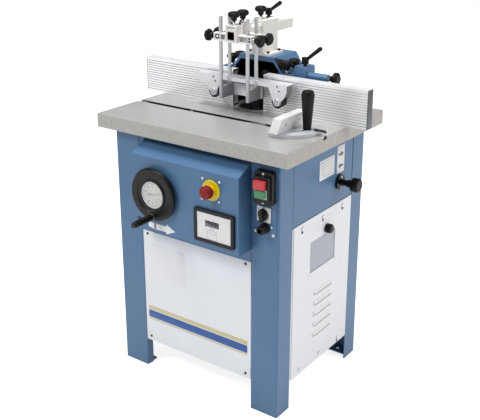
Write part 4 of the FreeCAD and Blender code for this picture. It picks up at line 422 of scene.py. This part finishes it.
# The ring's darker tone is painted shade and reflection from the throat
dress("table_ring", shaded_ring_iron, edge=0.5)
for name in ("slide_bracket", "quill_housing"):
    dress(name, raw_iron, edge=1.0)
for name in ("lift_screw", "motor_pulley", "mitre_bar"):
    dress(name, bright_steel, edge=0.4)
# The spindle's wider parts above the table, round the arbor, get painted shade
dress("spindle", bright_steel,
      (dark_steel_and_painted_shade, lambda f: ~near(f, 0, SPINDLE_Y, ARBOR_REACH) & (f.z > TABLE_TOP + 2)), edge=0.4)
dress("frame_rails", bright_steel, (zinc_sheet, lambda f: f.x > 303.2), edge=0.4)
dress("wheel_shaft", bright_steel, (dark_steel_and_painted_shade, lambda f: f.y < -380), edge=0.4)
# The fences' grooves get a darker alloy as painted shade
for name in ("left_fence", "right_fence"):
    dress(name, anodised, (grey_alloy_and_groove_shade, lambda f: (f.y > 40.05) & (f.y < 41.65) & (np.abs(f.nx) < 0.5)),
          # The fences' inner end faces by the cutter get painted shade
          (dark_steel_and_painted_shade, lambda f: (np.abs(f.x) < 200) & (np.abs(f.nx) > 0.3)), edge=0.25)
# The cheeks' right-facing sides get a mid grey as painted shade
dress("side_presser", zinc_sheet, (white_coat, lambda f: f.y > 25.9),
      (presser_side_shade, lambda f: (f.nx > 0.7) & (f.z < 970)),
      (rod_steel, lambda f: near(f, ROD_X, ROWS[0][1], ROD_REACH)), edge=0.5)
dress("top_shoe", zinc_sheet, (rod_steel, lambda f: near(f, ROD_X, ROWS[1][1], ROD_REACH) & (f.z > 966.05)),
      edge=0)
for side, at in ROLLERS:
    dress("shoe_roller_" + side, white_abs,
          (rubber, lambda f, at=at: np.hypot(f.x - at, f.z - ROLLER_Z) > 14.9), edge=0.8)
dress("mitre_head", grey_alloy_and_groove_shade, (anodised, gauge_facing),
      (bright_alloy, lambda f: gauge_facing(f) & (f.ny < -0.5)),
      (dark_steel_and_painted_shade, lambda f: (f.z > GAUGE_PLATE_TOP + 0.05) & (f.x > 311)), edge=0.6)
dress("mitre_handle", black_nylon, edge=1.5)
dress("display_unit", black_abs,
      (white_abs, lambda f: (f.ny < -0.9) & (np.abs(f.y - DISPLAY_Y) < 0.2)), edge=0.8)
dress("switch_plate", blue_coat, (white_abs, lambda f: f.y < SWITCH_Y - 0.1), edge=0.6)
for name in ("switch_housing", "selector_knob", "crank_grip"):
    dress(name, black_abs, edge=0.7)
dress("estop_collar", yellow_abs, edge=0.6)
dress("estop_button", red_abs, edge=1.5)
dress("stop_button", key_red, edge=0.8)
dress("start_button", key_green, edge=0.8)
dress("height_dial", white_abs, (dial_card, lambda f: (f.ny < -0.9) & (f.y > -318)), edge=0.5)
dress("lock_plunger", black_nylon, (bright_steel, lambda f: f.x < 300), edge=0.8)
dress("door_knob", black_nylon, edge=0.8)
dress("motor", motor_paint, edge=1.0)
dress("drive_belt", rubber, edge=0)
for name in ("carrier_lever", "column_lever", "adjust_knob", "column_knob", "clamp_knob_front",
             "clamp_knob_rear", "rod_knob_front_left", "rod_knob_front_right", "rod_knob_rear_left",
             "rod_knob_rear_right", "hood_knob_left_front", "hood_knob_left_rear", "hood_knob_right_front",
             "hood_knob_right_rear"):
    dress(name, black_nylon, edge=0.8)


# Knobs: a hub that flares into a domed head with soft lobes, on a bright stud
HUB, KNOB_RADIUS = (9.0, 19.0)
SIDES = (("left", -1), ("right", 1))


def lobed(angle, profile, lobes=7, depth=0.11):
    """Radius factor: a cosine dip at each lobe gap, growing from the hub out to the rim."""
    rim = np.clip((profile[:, 0:1] - HUB) / HUB, 0, 1)
    return 1 - depth * rim * (0.5 - 0.5 * np.cos(lobes * angle)) ** 1.5


def knob(name, at, axis, neck, stud_long, radius=KNOB_RADIUS):
    """A lobed hand knob at a seat, standing off by its neck, in place of its solid."""
    k = radius / KNOB_RADIUS
    head = [(4.5, neck), (8.2, neck), (HUB, neck + 0.8), (HUB, neck + 6.4), (10, neck + 8),
            (13 * k, neck + 9.6), (17 * k, neck + 12), (18.9 * k, neck + 15), (19 * k, neck + 18),
            (18 * k, neck + 21.4), (15.6 * k, neck + 24.4), (12 * k, neck + 26.4), (7.5 * k, neck + 27.3),
            (6.8 * k, neck + 26.9), (3 * k, neck + 27.4), (0.4, neck + 27.5)]
    stud = [(3.8, -stud_long), (4.6, 1 - stud_long), (4.6, neck + 0.5), (3.0, neck + 0.5)]
    made = turned(name + "_head", head, at, axis, black_nylon, name, 84, lobed)
    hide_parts(name)
    turned(name + "_stud", stud, at, axis, bright_steel, name, 32)


for row, y in ROWS:
    knob("clamp_knob_" + row, (0, y, CLAMP_TOP), Z, 12, 16.5)
    for side, sign in SIDES:
        knob("rod_knob_%s_%s" % (row, side), (70 * sign, y, 1094), X * sign, 8, 13.5)
knob("column_knob", (0, 104, CLAMP_TOP), Z, 12, 16.5)
for side, sign in SIDES:
    for row, y in (("front", 97), ("rear", 139)):
        knob("hood_knob_%s_%s" % (side, row), (104 * sign, y, HOOD_KNOB_SEAT), Z, 12, 9.5)


# Screws: a low dome with a cross cut in its top, or a cylinder with a socket
def cross_head(radius, tall):
    """A pan head: height falls with the radius to the power 2.5, and the top sinks inside a narrow cross."""
    rings = np.array([0.05, 0.25, 0.45, 0.6, 0.62, 0.8, 0.93, 1.0, 1.0])[::-1]
    a = ring_angles(40)
    x, y = rings[:, None] * np.cos(a), rings[:, None] * np.sin(a)
    dome = tall * (1 - 0.45 * rings[:, None] ** 2.5) * np.ones_like(x)
    dome[0] = 0
    cross = (np.minimum(np.abs(x), np.abs(y)) < 0.13) & (np.hypot(x, y) < 0.61)
    return np.stack([x * radius, y * radius, np.where(cross, dome - 0.4 * tall, dome)], axis=-1)


def socket_head(radius, tall):
    """A cap screw: straight side, rounded rim and a sunk round socket."""
    return turned_grid([(radius, 0), (radius, tall * 0.85), (radius * 0.9, tall), (radius * 0.55, tall),
                        (radius * 0.5, tall * 0.5), (radius * 0.02, tall * 0.45)], 24)


def on_front(y, *spots):
    """Places on an upright plane that faces the front, each screw rolled a little further."""
    return [((x, y, z), FRONT, 0.3 * n) for n, (x, z) in enumerate(spots)]


def on_right(x, *spots):
    """Places on an upright plane that faces the right, each screw rolled a little further."""
    return [((x, y, z), RIGHT, 0.4 * n) for n, (y, z) in enumerate(spots)]


repeated("console_screws", cross_head(3.8, 2.2),
         on_front(CONSOLE_Y, (82, 744), (142, 744), (140, 684), (79, 682)),
         zinc_sheet, "cabinet")
repeated("bezel_screws", cross_head(2.6, 1.2),
         on_front(BEZEL_Y, (58.5, 648.5), (190.5, 648.5), (58.5, 556.5), (190.5, 556.5)),
         dark_steel_and_painted_shade, "cabinet")
repeated("switch_plate_screws", cross_head(5, 2.6), on_front(SWITCH_Y, (227, 600), (287, 599)),
         zinc_sheet, "cabinet")
repeated("switch_housing_screws", cross_head(3.6, 1.8), on_front(HOUSING_Y, (264, 783), (264, 699)),
         zinc_sheet, "cabinet")
repeated("front_panel_screws", cross_head(4.2, 2.4),
         on_front(PANEL_Y, (-190, 484), (190, 484), (-190, 116), (190, 116)), dark_steel_and_painted_shade, "cabinet")
repeated("lock_flange_screws", cross_head(4, 2.2), on_right(LOCK_X, (90, 683), (90, 649)),
         zinc_sheet, "cabinet")
repeated("window_screws", cross_head(3, 1.4),
         on_right(WINDOW_X, (-79, 525), (81, 525), (-79, 413), (81, 413)),
         zinc_sheet, "access_door")
repeated("column_set_screws", socket_head(3.6, 6), [((x, 124, CLAMP_TOP), Z, 0) for x in (12, -12)],
         dark_steel_and_painted_shade, "fence_unit")
for row, y in ROWS:
    repeated("clamp_set_screws_" + row, socket_head(3.4, 6),
             [((x, y + 9, CLAMP_TOP), Z, 0) for x in (-15, 15)],
             dark_steel_and_painted_shade, "clamp_" + row)

# The shoe's rollers: a tyre lip round each, four wedges of painted shade on each axle's head standing for its
# hollows, and the shoe's own screws
tyre_lip = turned_grid([(15.2, 0), (19.4, 0), (20, 0.6), (20, 4.6), (19.4, 5.2), (15.2, 5.2)], 64)
for side, x in ROLLERS:
    new_mesh("tyre_lip_" + side, facing(tyre_lip, (x, -2, ROLLER_Z), FRONT), lattice(6, 64, wrap_rows=True),
             rubber, "shoe_roller_" + side)
arc = np.radians(np.linspace(-26, 26, 7))
wedge = np.concatenate([np.stack([7.6 * np.cos(arc), 7.6 * np.sin(arc)], axis=1), [(3, 1.0), (3, -1.0)]])
repeated("axle_head_hollow_shade", np.stack([at_height(wedge, h) for h in (0, 0.3)]),
         [((x, -14, ROLLER_Z), FRONT, a + 0.3) for _, x in ROLLERS for a in ring_angles(4)],
         grey_cap_and_painted_shade, "top_shoe")
repeated("shoe_screws", cross_head(2.6, 1.2), on_front(-11, (-99, 959), (-92, 946), (139, 959), (146, 946)),
         dark_steel_and_painted_shade, "top_shoe")

# Plates, prints and labels, each a thin rounded slab on the face that carries it
for name, tall, z, film in (("band_cream_wide", 14, 222, band_cream), ("band_blue_wide", 26, 200, band_blue),
                            ("band_cream_narrow", 5, 182, band_cream)):
    print_on(name, 394, tall, (0, PANEL_Y, z), FRONT, film, "cabinet")
print_on("side_plate_large", 86, 62, (SIDE_X, 14, 731), RIGHT, label_film, "cabinet", 0.5, 2)
print_on("side_plate_tall", 44, 88, (SIDE_X, 96, 738), RIGHT, label_film, "cabinet", 0.5, 2)
LOCK_ARROW = np.array([(-14, -3), (2, -3), (2, -9), (14, 0), (2, 9), (2, 3), (-14, 3)])
flat_shape("lock_arrow", LOCK_ARROW, (LABEL_X, 96, 754), RIGHT, print_black, "cabinet", 0.2)

# Strips of painted shade where the side plate meets the legs
for end, y in (("front", -171.4), ("rear", 171.4)):
    print_on("side_seam_shade_" + end, 2.0, 216, (SIDE_X, y, 707), RIGHT, seam_painted_shade, "cabinet", 0.3, 0.4)

# Painted shadow under each louvre, and the door's pale seal
for n in range(5):
    print_on("louvre_painted_shadow_%d" % n, 96, 1.5, (LOUVRE_X, 3, 337.9 - 36 * n), RIGHT, grey_cap_and_painted_shade, "access_door",
             1.0, 0.4)
slab("door_seal", 12.6, 500, 1, [(0, 0), (0, 1.2), (0.3, 1.5)], (303.6, -166.2, 346), RIGHT, white_coat,
     "cabinet")

# Two arrows under the wheel, one for each way of turning
flat_shape("lower_arrow",
           [(-62, -8), (-44, -12), (8, -12), (8, -18), (44, -3), (10, 14), (10, 7), (-44, 7), (-62, 8)],
           (-68, CONSOLE_Y, 553), FRONT, label_film, "cabinet")
flat_shape("lower_arrow_bar", [(-40, -11), (-30, -11), (-30, 6), (-40, 6)], (-68, CONSOLE_Y - 0.3, 553),
           FRONT, print_grey, "cabinet", 0.2)
flat_shape("raise_arrow", [(-8, -9), (-8, -4), (12, -6), (12, 3), (-8, 5), (-8, 10), (-26, 2)],
           (-152, CONSOLE_Y, 561), FRONT, print_black, "cabinet")

# Display: dark glass with faint seven-bar figures, and a plain line drawing of a cutter below it
GLASS, DISPLAY_Z = (0.8, 612)
INK = [(0, 0), (0, 0.2)]
BARS = ((0, 6, 5.4, 1), (0, 0, 5.4, 1), (0, -6, 5.4, 1),
        (-3.2, 3, 1, 5), (3.2, 3, 1, 5), (-3.2, -3, 1, 5), (3.2, -3, 1, 5))
print_on("display_glass", 49, 18, (118.5, DISPLAY_Y, DISPLAY_Z), FRONT, lcd_glass, "cabinet", GLASS, 1.0)
bundle("display_figures",
       [facing(slab_grid(w, t, 0.3, INK), (100.5 + 12 * n + dx, DISPLAY_Y - GLASS, DISPLAY_Z + dz), FRONT)
        for n in range(4) for dx, dz, w, t in BARS], print_grey, "cabinet")

CUTTER = (118, DISPLAY_Y, 588)
CUTTER_WIDE, CUTTER_FLAT, CUTTER_TALL = (17, 5, 20)


def oval(angles):
    """The cutter's rim as it is drawn: a circle seen at a slant."""
    return np.stack([CUTTER_WIDE * np.cos(angles), CUTTER_FLAT * np.sin(angles)], axis=1)


lower_rim = oval(np.linspace(math.pi, 2 * math.pi, 25)) - (0, CUTTER_TALL)
drawn_line("drawn_cutter_top", oval(ring_angles(48)), CUTTER, FRONT, print_grey, "cabinet", closed=True)
drawn_line("drawn_cutter_side", np.concatenate([[(-CUTTER_WIDE, 0)], lower_rim, [(CUTTER_WIDE, 0)]]), CUTTER,
           FRONT, print_grey, "cabinet")
drawn_line("drawn_arbor", [(-4, 3), (-4, 12), (4, 12), (4, 3)], CUTTER, FRONT, print_grey, "cabinet")

# Dial in the wheel: rim marks, figures and two thin hands over a pale face
DIAL = np.array([-95.0, -317.5, 658.0])
fine_mark = slab_grid(0.5, 2.2, 0.2, INK) + (0, 35.6, 0)
long_mark = slab_grid(0.9, 4.4, 0.2, INK) + (0, 34.5, 0)
repeated("dial_fine_marks", fine_mark, [(DIAL, FRONT, a) for a in ring_angles(60)], print_black, "handwheel")
repeated("dial_long_marks", long_mark, [(DIAL, FRONT, a) for a in ring_angles(10)], print_black, "handwheel")
# Each bar of a figure: its middle, width and height, in widths and half heights of the figure
SEGMENTS = {"top": (0, 1, 1, 0.16), "middle": (0, 0, 1, 0.16), "bottom": (0, -1, 1, 0.16),
            "left_high": (-0.5, 0.5, 0.16, 1), "right_high": (0.5, 0.5, 0.16, 1),
            "left_low": (-0.5, -0.5, 0.16, 1), "right_low": (0.5, -0.5, 0.16, 1)}
LIT = ("top bottom left_high right_high left_low right_low", "right_high right_low",
       "top middle bottom right_high left_low", "top middle bottom right_high right_low",
       "middle left_high right_high right_low", "top middle bottom left_high right_low",
       "top middle bottom left_high left_low right_low", "top right_high right_low",
       "top middle bottom left_high right_high left_low right_low",
       "top middle bottom left_high right_high right_low")


def figures(name, digits, wide, tall, places, axis, material, body):
    """Plain seven-bar figures: each digit's lit bars as thin slabs round its place."""
    grids = []
    for digit, at in zip(digits, places):
        for key in LIT[digit].split():
            dx, dy, w, t = SEGMENTS[key]
            bar = slab_grid(max(w * wide, 0.6), max(t * tall / 2, 0.6), 0.15, INK)
            grids.append(facing(bar + (dx * wide, dy * tall / 2, 0), at, axis))
    return bundle(name, grids, material, body)


spots = [DIAL + 27.0 * (math.sin(a) * X + math.cos(a) * Z) for a in ring_angles(10)]
figures("dial_figures", range(10), 2.6, 4.6, spots, FRONT, print_black, "handwheel")
flat_shape("dial_hand_short", [(5, -1.2), (5, 1.2), (-21, 0.5), (-21, -0.5)], DIAL - 0.6 * Y, FRONT,
           print_black, "handwheel", 0.4)
flat_shape("dial_hand_long", [(26.2, 9.6), (25.8, 10.6), (-6.4, -1.6), (-6, -3.2)], DIAL - 1.1 * Y, FRONT,
           band_cream, "handwheel", 0.4)
turned("dial_cap", [(3.2, 0), (3.2, 1.6), (2.4, 2.2), (0.2, 2.3)], DIAL, FRONT, bright_steel,
       "handwheel", 32)

# Small fittings round the switches: a pale frame, screws, position marks and turning arrows
frame_ring("start_key_frame", 41.6, 26.6, 2.4, 1.6, (264, -276, 728.5), FRONT, label_film,
           "cabinet")
repeated("switch_side_screws", cross_head(3.0, 1.6), on_front(SWITCH_Y, (281, 622), (228, 741)),
         zinc_sheet, "cabinet")
for n, (x, z, wide, tall) in enumerate(((239, 672, 1.6, 6), (256, 677.4, 6, 1.4), (274, 672, 1.6, 6))):
    print_on("selector_mark_%d" % n, wide, tall, (x, -248, z), FRONT, print_black, "cabinet")
turn_arrow = np.array([(-3, 9.9), (3, 11.5), (-3, 13.1), (-2, 11.5)])
repeated("estop_arrows", np.stack([at_height(turn_arrow, h) for h in (0, 0.25)]),
         [((113, -336, 714), FRONT, a) for a in ring_angles(3)], key_red, "estop_button")

# Mitre gauge: degree marks along the rim of the head, two screws in the side of the facing
degree = slab_grid(0.8, 7, 0.2, [(0, 0), (0, 0.15)]) + (0, 84.5, 0)
repeated("mitre_degree_marks", degree,
         [((238, SLOT_Y, GAUGE_PLATE_TOP), Z, a) for a in np.linspace(-2.95, -1.65, 16)],
         print_black, "mitre_head")
lean = math.atan2(16, 46)
slope = np.array([math.cos(lean), 0, -math.sin(lean)])
repeated("facing_screws", cross_head(4.6, 1.6), [((258.9, y, 894.3), slope, 0.5) for y in (-146, -74)],
         bright_steel, "mitre_head")

# Caps on the fences' ends and a dark stop block on the right fence's inner end
for side, x, axis in (("right", 414, X), ("left", -420, -X)):
    slab(side + "_fence_cap", 29, 115, 1.5, [(0, 0), (0, 1.6), (0.5, 2.2)], (x, 55, 918.5), axis, grey_cap_and_painted_shade,
         side + "_fence")
slab("fence_stop_block", 16, 38, 2, [(0, 0), (0, 15), (1, 16)], (56, 60, 966), -X, black_nylon, "right_fence")
# A dark plate of painted shade inside the hood, on four posts in front of the dust port
slab("hood_shade_plate", 124, 116, 4, [(0, 0), (0, 2)], (0, 202, 932), FRONT, dark_steel_and_painted_shade,
     "fence_unit")
repeated("hood_shade_plate_posts", turned_grid([(4, 0), (4, 6.3)], 16),
         [((x, 208.2, z), FRONT, 0) for x in (-52, 52) for z in (884, 980)],
         dark_steel_and_painted_shade, "fence_unit")
knob("adjust_knob", (244, 112, 976), X, 7, 60, radius=22)

# Rating plate: ruled lines only, no words
for n in range(6):
    print_on("rating_line_%d" % n, 74, 0.8, (LABEL_X, 14, 754 - 9 * n), RIGHT, print_grey, "cabinet", 0.15)
print_on("rating_line_upright", 0.8, 45, (LABEL_X, -8, 731.5), RIGHT, print_grey, "cabinet", 0.15)
flat_shape("unlock_arrow", -LOCK_ARROW, (LABEL_X, 96, 716), RIGHT, print_black, "cabinet", 0.2)
print_on("blank_label", 138, 118, (-111, PANEL_Y, 395), FRONT, label_film, "cabinet", 0.2, 2)


# Camera at the photograph's place, its focal length and shift given in the photograph's pixels
PHOTO_WIDE, FOCAL, SHIFT = (480, 847.1, -40)
SENSOR = 36.0
AIM = np.array([-4.7, 0.7, 665.2]) * MM
azimuth, elevation, away = math.radians(35.80), math.radians(19.24), 2702 * MM
back = np.array([math.sin(azimuth) * math.cos(elevation), -math.cos(azimuth) * math.cos(elevation),
                 math.sin(elevation)])
lens = bpy.data.cameras.new("camera")
lens.sensor_width = SENSOR
lens.lens = FOCAL * SENSOR / PHOTO_WIDE
lens.shift_y = SHIFT / PHOTO_WIDE
lens.clip_start, lens.clip_end = (0.05, 60)
camera = bpy.data.objects.new("camera", lens)
camera.location = AIM + back * away
camera.rotation_euler = Vector(-back).to_track_quat("-Z", "Y").to_euler()
bpy.context.scene.collection.objects.link(camera)
bpy.context.scene.camera = camera


# Soft lights, placed and sized in metres
def lamp(name, place, aim, size, power, tint=(1, 1, 1)):
    """A square soft light that looks at a point."""
    light = bpy.data.lights.new(name, "AREA")
    light.size = size
    light.energy = power
    light.color = tint
    thing = bpy.data.objects.new(name, light)
    thing.location = place
    thing.rotation_euler = (Vector(aim) - Vector(place)).to_track_quat("-Z", "Y").to_euler()
    bpy.context.scene.collection.objects.link(thing)


lamp("key_light", (-1.2, -2.9, 3.5), (0, 0, 0.6), 1.2, 70)
lamp("side_light", (3.3, 0.9, 2.2), (0, 0, 0.5), 2.0, 46, (1.0, 0.97, 0.92))
lamp("top_light", (0.0, -0.2, 3.6), (0, 0, 0.8), 0.9, 68)

# Pale floor, its reach in metres; it glows only for the camera, mirrors and glass, to meet the white background
FLOOR_REACH, FLOOR_GLOW = (14.0, 0.78)
floor_paint, tree, shader = blank("pale_floor")
shader.inputs["Base Color"].default_value = linear("#E9EAEC")
shader.inputs["Roughness"].default_value = 0.8
rays = add(tree, "ShaderNodeLightPath")
seen = add(tree, "ShaderNodeMath", {0: rays.outputs["Is Camera Ray"], 1: rays.outputs["Is Glossy Ray"]},
           operation="MAXIMUM")
seen = add(tree, "ShaderNodeMath", {0: seen.outputs[0], 1: rays.outputs["Is Transmission Ray"]},
           operation="MAXIMUM")
glow = add(tree, "ShaderNodeMath", {0: seen.outputs[0], 1: FLOOR_GLOW}, operation="MULTIPLY")
shader.inputs["Emission Color"].default_value = (1, 1, 1, 1)
tree.links.new(glow.outputs[0], shader.inputs["Emission Strength"])
floor_mesh = bpy.data.meshes.new("floor")
corners = [(x * FLOOR_REACH, y * FLOOR_REACH, 0) for x, y in ((-1, -1), (1, -1), (1, 1), (-1, 1))]
floor_mesh.from_pydata(corners, [], [(0, 1, 2, 3)])
floor_mesh.materials.append(floor_paint)
floor = bpy.data.objects.new("floor", floor_mesh)
bpy.context.scene.collection.objects.link(floor)

# White world to the camera and through glass, a dimmer fill light for everything else
WORLD_FILL, WORLD_SEEN = (0.34, 1.0)
world = bpy.data.worlds.new("studio")
bpy.context.scene.world = world
world.use_nodes = True
sky = world.node_tree
rays = add(sky, "ShaderNodeLightPath")
seen = add(sky, "ShaderNodeMath", {0: rays.outputs["Is Camera Ray"], 1: rays.outputs["Is Transmission Ray"]},
           operation="MAXIMUM")
strength = add(sky, "ShaderNodeMapRange",
               {"Value": seen.outputs[0], "To Min": WORLD_FILL, "To Max": WORLD_SEEN})
sky.nodes["Background"].inputs["Color"].default_value = (1, 1, 1, 1)
sky.links.new(strength.outputs[0], sky.nodes["Background"].inputs["Strength"])
bpy.context.scene.view_settings.view_transform = "Standard"
